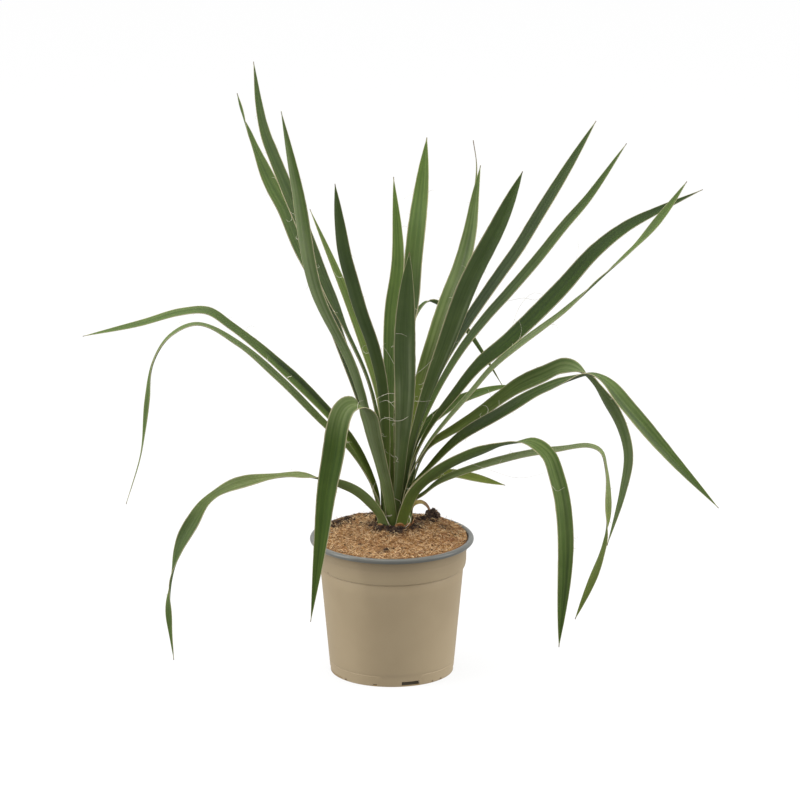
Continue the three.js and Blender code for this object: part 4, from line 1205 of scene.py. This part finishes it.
# torn papery scales round the foot of the crown: azimuth, width, length, how far they lean out and
# how dark they are
scaleTable = [
    (286, 12, 11.5, 0.5, 0.45), (256, 12, 8, 0.5, 0.95), (226, 13, 9, 1.5, 1.0),
    (316, 12, 9.5, 1.5, 0.9), (350, 12, 11, 1.5, 0.8), (25, 12, 12, 2.0, 0.8),
    (75, 12, 11, 1.5, 0.8), (120, 12, 12, 2.0, 0.8), (170, 12, 11, 2.0, 0.8),
]
scaleFoot = 167.0    # mm, the height they start from
scaleSetup = dict(leafSetup, green=(0.115, 0.042, 0.012), light=(0.27, 0.100, 0.022),
                  base=(0.22, 0.10, 0.03), bloomAndSheen=(0.30, 0.20, 0.12), under=(0.26, 0.10, 0.03),
                  deep=(0.05, 0.018, 0.006), margin=(0.60, 0.42, 0.24), dry=(0.40, 0.24, 0.10))
scaleLook = bladeMaterial("papery_scale", scaleSetup)
for azimuth, width, length, lean, dark in scaleTable:
    turn = math.radians(azimuth)
    out = [leafSetup["rings"][5] + lean * share * share for share in (0.5, 1.0)]
    route = [(crown[0] + r * math.cos(turn), crown[1] + r * math.sin(turn), scaleFoot + length * share)
             for r, share in zip(out, (0.5, 1.0))]
    scale = {"name": "scale_%d" % azimuth, "replaces": None, "ring": 5, "seat": azimuth,
             "seatHeight": scaleFoot, "seatWidth": width, "widest": width, "peak": 0.4, "taper": 4.5,
             "roll": [0, 0], "fold": 0.02, "route": route}
    leafLooks[scale["name"]] = {"dark": [0.9, dark, dark * 0.6], "grey": [0, 0],
                                "warm": [0.0, 0.1, 0.3], "dryTip": 2.0, "edge": 0.4}
    makeBlade(scale, scaleLook, scale["name"])

# the curly threads that peel off the leaf margins
threadSetup = {
    "sides": 3, "cuts": 11, "seed": 21, "each": 7, "radius": 0.17,
    "short": (4.0, 11.0), "long": (14.0, 30.0), "longShare": 0.22,
    "before": 4.0,       # mm that the seen ones run in front of their leaf
    "color": (0.70, 0.65, 0.52),
}
leafNamed = {leaf["name"]: leaf for leaf in leafTable}

# threads seen in the photograph: their leaf, their pixels from its margin on, and their radius in mm
seenThreads = {
    "crown_high_arc": ("leaf_front_upright", [(395, 394), (388, 393.5), (374, 400)], 0.22),
    "crown_low_arc": ("leaf_front_upright", [(395.5, 408), (387, 400.5), (379, 402.5)], 0.22),
    "crown_hanging_arc": ("leaf_front_upright",
        [(411, 413), (401, 420.5), (390, 420), (384, 416.5)], 0.24),
    "crown_right_line": ("leaf_front_upright", [(416, 375), (425, 367), (434, 358)], 0.2),
    "crown_right_low_line": ("leaf_front_upright", [(416, 401), (424, 401.5), (431.5, 400.5)], 0.2),
    "crown_left_line": ("leaf_front_upright", [(393, 364), (389, 355), (384, 347)], 0.2),
    "front_upright_tick": ("leaf_front_upright", [(397, 333.5), (402, 334), (407, 336.5)], 0.2),
    "left_dark_tick": ("leaf_left_dark", [(367, 338), (371, 337), (375.5, 337.7)], 0.2),
    "left_tall_loop": ("leaf_left_outer_tall",
        [(338, 312), (330, 304), (324, 290), (327, 276), (318, 271)], 0.18),
    "left_tall_tick": ("leaf_left_tallest", [(333, 310), (335, 312), (338, 313)], 0.22),
    "right_upper_loop": ("leaf_right_broad",
        [(510, 325), (520, 306), (533, 293), (545, 296), (550, 305)], 0.18),
    "right_upper_strand": ("leaf_right_tall_folded",
        [(516, 310), (524, 298), (536, 300), (548, 292)], 0.18),
    "hanging_long_strand": ("leaf_front_right_hanging",
        [(463, 459), (490, 470), (520, 478), (560, 468)], 0.16),
    "hanging_loop": ("leaf_front_right_hanging", [(550, 485), (557, 491), (565, 487)], 0.18),
    "arch_strand": ("leaf_right_drooping", [(513, 385), (509, 392), (513, 400)], 0.2),
    "droop_strand": ("leaf_right_drooping", [(620, 392), (615, 399), (620, 405)], 0.2),
    "crown_tangle": ("leaf_left_dark", [(383, 442), (391, 446), (385, 450), (390, 455)], 0.2),
    "hanging_left_loop": ("leaf_left_hanging", [(354, 433), (347, 434), (346, 441), (352, 442)], 0.2),
    "high_arch_knot": ("leaf_left_high_arch", [(288, 374), (292, 376), (287, 378), (290, 380)], 0.22),
    "droop_tick": ("leaf_right_drooping", [(485, 390), (488, 389)], 0.25),
    "arch_tick": ("leaf_right_drooping", [(496, 401), (499, 400)], 0.25),
    "arch_low_tick": ("leaf_right_long_arch", [(473, 431), (476, 433)], 0.25),
    "thin_tick": ("leaf_right_thin_hanging", [(436, 461), (439, 459)], 0.25),
    "hanging_tick": ("leaf_front_right_hanging", [(484, 447), (487, 445)], 0.25),
    "thin_far_tick": ("leaf_right_thin_hanging", [(499, 461), (502, 459)], 0.25),
    "crown_white_tuft": ("leaf_front_upright", [(396, 456), (398, 459), (396, 461), (399, 462)], 0.4),
    "crown_right_tuft": ("leaf_right_dark_wide", [(420, 421), (423, 423), (421, 427), (423, 429)], 0.2),
    "crown_papery_tuft": ("leaf_front_upright", [(396.5, 498), (398, 500), (400, 501), (401, 504)], 0.4),
    "crown_papery_edge": ("leaf_front_right_hanging",
        [(411.3, 516), (410.6, 520), (408, 525), (402.5, 529.5)], 0.45),
    "crown_left_edge": ("leaf_left_low_wavy", [(394.7, 512), (392, 515), (388.4, 517)], 0.35),
    "low_fuzz": ("leaf_left_low_wavy", [(384.5, 519.5), (388, 522), (391, 526)], 0.22),
    "low_fuzz_too": ("leaf_left_low_wavy", [(386, 516), (387.5, 521), (389, 525.5)], 0.22),
    "front_folded_line": ("leaf_front_folded", [(356, 408), (359, 402), (364, 400)], 0.22),
}


def toPhoto(points):
    # the photograph's pixels of points in mm
    lift = math.radians(cameraSetup["elevation"])
    focal = cameraSetup["lens"] / cameraSetup["sensor"] * cameraSetup["photo"]
    middle = cameraSetup["photo"] / 2
    away = np.asarray(points, float) - np.array(cameraSetup["target"])
    depth = cameraSetup["distance"] - (away[:, 2] * math.sin(lift) - away[:, 1] * math.cos(lift))
    high = away[:, 1] * math.sin(lift) + away[:, 2] * math.cos(lift)
    return middle + focal * away[:, 0] / depth, middle - focal * high / depth


def fromPhoto(px, py, y):
    # the point in mm behind a pixel, at a depth y
    lift = math.radians(cameraSetup["elevation"])
    focal = cameraSetup["lens"] / cameraSetup["sensor"] * cameraSetup["photo"]
    middle = cameraSetup["photo"] / 2
    a, b = (px - middle) / focal, (middle - py) / focal
    near = cameraSetup["distance"] + y * math.cos(lift)
    high = (b * near - y * math.sin(lift)) / (math.cos(lift) + b * math.sin(lift))
    depth = near - high * math.sin(lift)
    return np.array([a * depth + cameraSetup["target"][0], y, high + cameraSetup["target"][2]])


def threadShape(setup):
    # a bar 1 mm long, cut across so that it can curl
    clearSelection()
    bpy.ops.mesh.primitive_cylinder_add(vertices=setup["sides"], radius=1, depth=1,
                                        rotation=(0, math.pi / 2, 0))
    bpy.ops.object.transform_apply(rotation=True)
    piece = bpy.context.object
    bpy.ops.object.mode_set(mode='EDIT')
    for index in range(setup["cuts"]):
        bpy.ops.mesh.select_all(action='SELECT')
        cut = (index + 1) / (setup["cuts"] + 1) - 0.5
        bpy.ops.mesh.bisect(plane_co=(cut, 0, 0), plane_no=(1, 0, 0))
    bpy.ops.mesh.select_all(action='SELECT')
    bpy.ops.mesh.normals_make_consistent(inside=False)
    bpy.ops.object.mode_set(mode='OBJECT')
    co = pointsOf(piece)
    faces = [tuple(face.vertices) for face in piece.data.polygons]
    bpy.data.objects.remove(piece)
    return co, faces


def layThread(shape, line, radius):
    # the bar laid along a line of points, thinner towards its free end
    run = np.concatenate([[0], np.cumsum(np.linalg.norm(np.diff(line, axis=0), axis=1))])
    share = shape[:, 0] + 0.5
    at = lambda part: np.stack([np.interp(part * run[-1], run, line[:, i]) for i in range(3)], 1)
    ahead = at(np.minimum(share + 0.04, 1)) - at(np.maximum(share - 0.04, 0))
    ahead /= np.linalg.norm(ahead, axis=1)[:, None]
    side = np.cross(ahead, (0.36, 0.48, 0.8))
    side /= np.linalg.norm(side, axis=1)[:, None]
    up = np.cross(side, ahead)
    thin = (radius * (1 - 0.6 * share ** 3))[:, None]
    return at(share) + side * shape[:, 1:2] * thin + up * shape[:, 2:3] * thin


def seenLine(name, pixels):
    # starts where a margin of the leaf passes nearest to the first pixel, and runs on in front of it
    share = np.linspace(0, 0.98, 300)
    edge = np.concatenate([bladePlace(leafNamed[name], share, np.full(300, side))
                           for side in (-0.97, 0.97)])
    u, v = toPhoto(edge)
    start = edge[np.argmin(np.hypot(u - pixels[0][0], v - pixels[0][1]))]
    rest = [fromPhoto(px, py, start[1] - threadSetup["before"]) for px, py in pixels[1:]]
    fine, _ = routeCurve([start] + rest)
    return fine[::40]


def curledLine(rng, setup, leaf):
    # starts somewhere on a margin and curls away from it, forwards or backwards
    share = np.array([0.06 + 0.84 * rng.random()])
    margin = -1.0 if rng.random() < 0.5 else 1.0
    start = bladePlace(leaf, share, np.array([0.97 * margin]))[0]
    _, forward, across, upper, _, _ = leafFrame(leaf, share)
    low, high = setup["long"] if rng.random() < setup["longShare"] else setup["short"]
    length = low + (high - low) * rng.random()
    t = np.linspace(0, 1, 25)
    angle = 0.15 + 0.5 * rng.random() + (0.8 + 4.2 * rng.random() ** 1.5) * t
    step = length / 24
    onward = np.concatenate([[0], np.cumsum(np.cos(angle[:-1]) * step)])
    out = np.concatenate([[0], np.cumsum(np.sin(angle[:-1]) * step)])
    raised = length * 0.3 * (rng.random() - 0.3) * t ** 2
    away = forward[0] if rng.random() < 0.6 else -forward[0]
    return (start + np.outer(onward, away) + np.outer(out * margin, across[0])
            + np.outer(raised, upper[0]))


def makeThreads(setup):
    rng = np.random.default_rng(setup["seed"])
    shape, polygons = threadShape(setup)
    blocks = [layThread(shape, seenLine(name, pixels), radius)
              for name, pixels, radius in seenThreads.values()]
    for leaf in leafTable:
        for _ in range(setup["each"]):
            line = curledLine(rng, setup, leaf)
            blocks.append(layThread(shape, line, setup["radius"] * (0.7 + 0.5 * rng.random())))
    mat, nodes, links, shader = startMaterial("pale_thread")
    place = nodes.new("ShaderNodeTexCoord").outputs["Object"]
    shade = noiseNode(nodes, links, place, 90, 2, 0.5)
    darker = tuple(0.6 * c for c in setup["color"])
    color = rampNode(nodes, links, shade, [(0.3, darker), (0.7, setup["color"])])
    links.new(color, shader.inputs["Base Color"])
    shader.inputs["Roughness"].default_value = 0.7
    threads = joinedPiece("margin_threads", blocks, [polygons] * len(blocks),
                          [np.ones((len(block), 4)) for block in blocks])
    threads.data.materials.append(mat)
    return settle(threads, "margin_threads")


makeThreads(threadSetup)
print("threads done,", len(seenThreads) + threadSetup["each"] * len(leafTable))

# floor and light
floorSetup = {
    "size": 14.0, "glow": 0.84, "white": 0.14,
    # under the pot: painted shadow, dark out to the first radius, then an ochre ring out to the second
    "dark": (0.018, 0.014, 0.010), "shadowRadius": 66.5, "ochre": (0.30, 0.20, 0.09), "ochreRadius": 71.2,
}


def makeFloor(setup):
    clearSelection()
    bpy.ops.mesh.primitive_plane_add(size=setup["size"], location=(0, 0, -0.0002))
    floor = bpy.context.object
    floor.name = "studio_floor"
    mat, nodes, links, shader = startMaterial("studio_white")
    shader.inputs["Base Color"].default_value = (setup["white"],) * 3 + (1,)
    shader.inputs["Roughness"].default_value = 0.9
    shader.inputs["Specular IOR Level"].default_value = 0.0
    away = nodes.new("ShaderNodeVectorMath")
    away.operation = 'LENGTH'
    links.new(nodes.new("ShaderNodeTexCoord").outputs["Object"], away.inputs[0])
    share = mathNode(nodes, links, 'MULTIPLY', away.outputs["Value"], 10.0)
    # painted shadow on the glowing floor under the pot, with an ochre ring round it
    dark, ochre = setup["shadowRadius"] * mm * 10, setup["ochreRadius"] * mm * 10
    glow = rampNode(nodes, links, share, [(dark - 0.01, setup["dark"]), (dark + 0.01, setup["ochre"]),
                                         (ochre - 0.002, setup["ochre"]), (ochre + 0.002, (1, 1, 1))])
    links.new(glow, shader.inputs["Emission Color"])
    shader.inputs["Emission Strength"].default_value = setup["glow"]
    floor.data.materials.append(mat)
    # the white floor throws no light up into the leaves
    floor.visible_diffuse = False
    floor.visible_glossy = False


lightSetup = {
    # how bright the studio is overhead, at the horizon and below it, and towards its front and back
    "top": 1.20, "horizon": 0.85, "below": 0.70, "front": 0.74, "back": 0.95,
    "boxes": [   # name, place, aim, size, power
        ("left_box", (-2.1, -0.5, 1.1), (0, 0, 0.3), (1.4, 1.8), 38),
        ("right_box", (2.1, -0.3, 1.0), (0, 0, 0.3), (1.4, 1.8), 36),
        ("top_box", (-0.3, 0.1, 2.4), (0, 0, 0.3), (1.6, 1.6), 30),
    ],
}


def makeLights(setup):
    world = bpy.data.worlds.new("studio_world")
    bpy.context.scene.world = world
    world.use_nodes = True
    nodes, links = world.node_tree.nodes, world.node_tree.links
    back = nodes["Background"]
    toward = nodes.new("ShaderNodeSeparateXYZ")
    links.new(nodes.new("ShaderNodeTexCoord").outputs["Generated"], toward.inputs[0])
    rise = mathNode(nodes, links, 'MULTIPLY_ADD', toward.outputs["Z"], 0.5)
    depth = mathNode(nodes, links, 'MULTIPLY_ADD', toward.outputs["Y"], 0.5)
    for half in (rise, depth):
        half.node.inputs[2].default_value = 0.5
    upDown = rampNode(nodes, links, rise, [(0.46, (setup["below"],) * 3), (0.54, (setup["horizon"],) * 3),
                                          (0.95, (setup["top"],) * 3)])
    frontBack = rampNode(nodes, links, depth, [(0.1, (setup["front"],) * 3),
                                               (0.55, (setup["back"],) * 3)])
    glow = mixNode(nodes, links, 1.0, upDown, frontBack, 'MULTIPLY')
    seen = nodes.new("ShaderNodeLightPath").outputs["Is Camera Ray"]
    links.new(mixNode(nodes, links, seen, glow, (1.0, 1.0, 1.0)), back.inputs["Color"])
    back.inputs["Strength"].default_value = 1.0
    for name, place, aim, size, power in setup["boxes"]:
        data = bpy.data.lights.new(name, 'AREA')
        data.shape = 'RECTANGLE'
        data.size, data.size_y = size
        data.energy = power
        lamp = bpy.data.objects.new(name, data)
        lamp.location = place
        lamp.rotation_euler = (Vector(aim) - Vector(place)).to_track_quat('-Z', 'Y').to_euler()
        bpy.context.scene.collection.objects.link(lamp)
    bpy.context.scene.view_settings.view_transform = 'Standard'


makeFloor(floorSetup)
makeLights(lightSetup)
print("floor and light done")
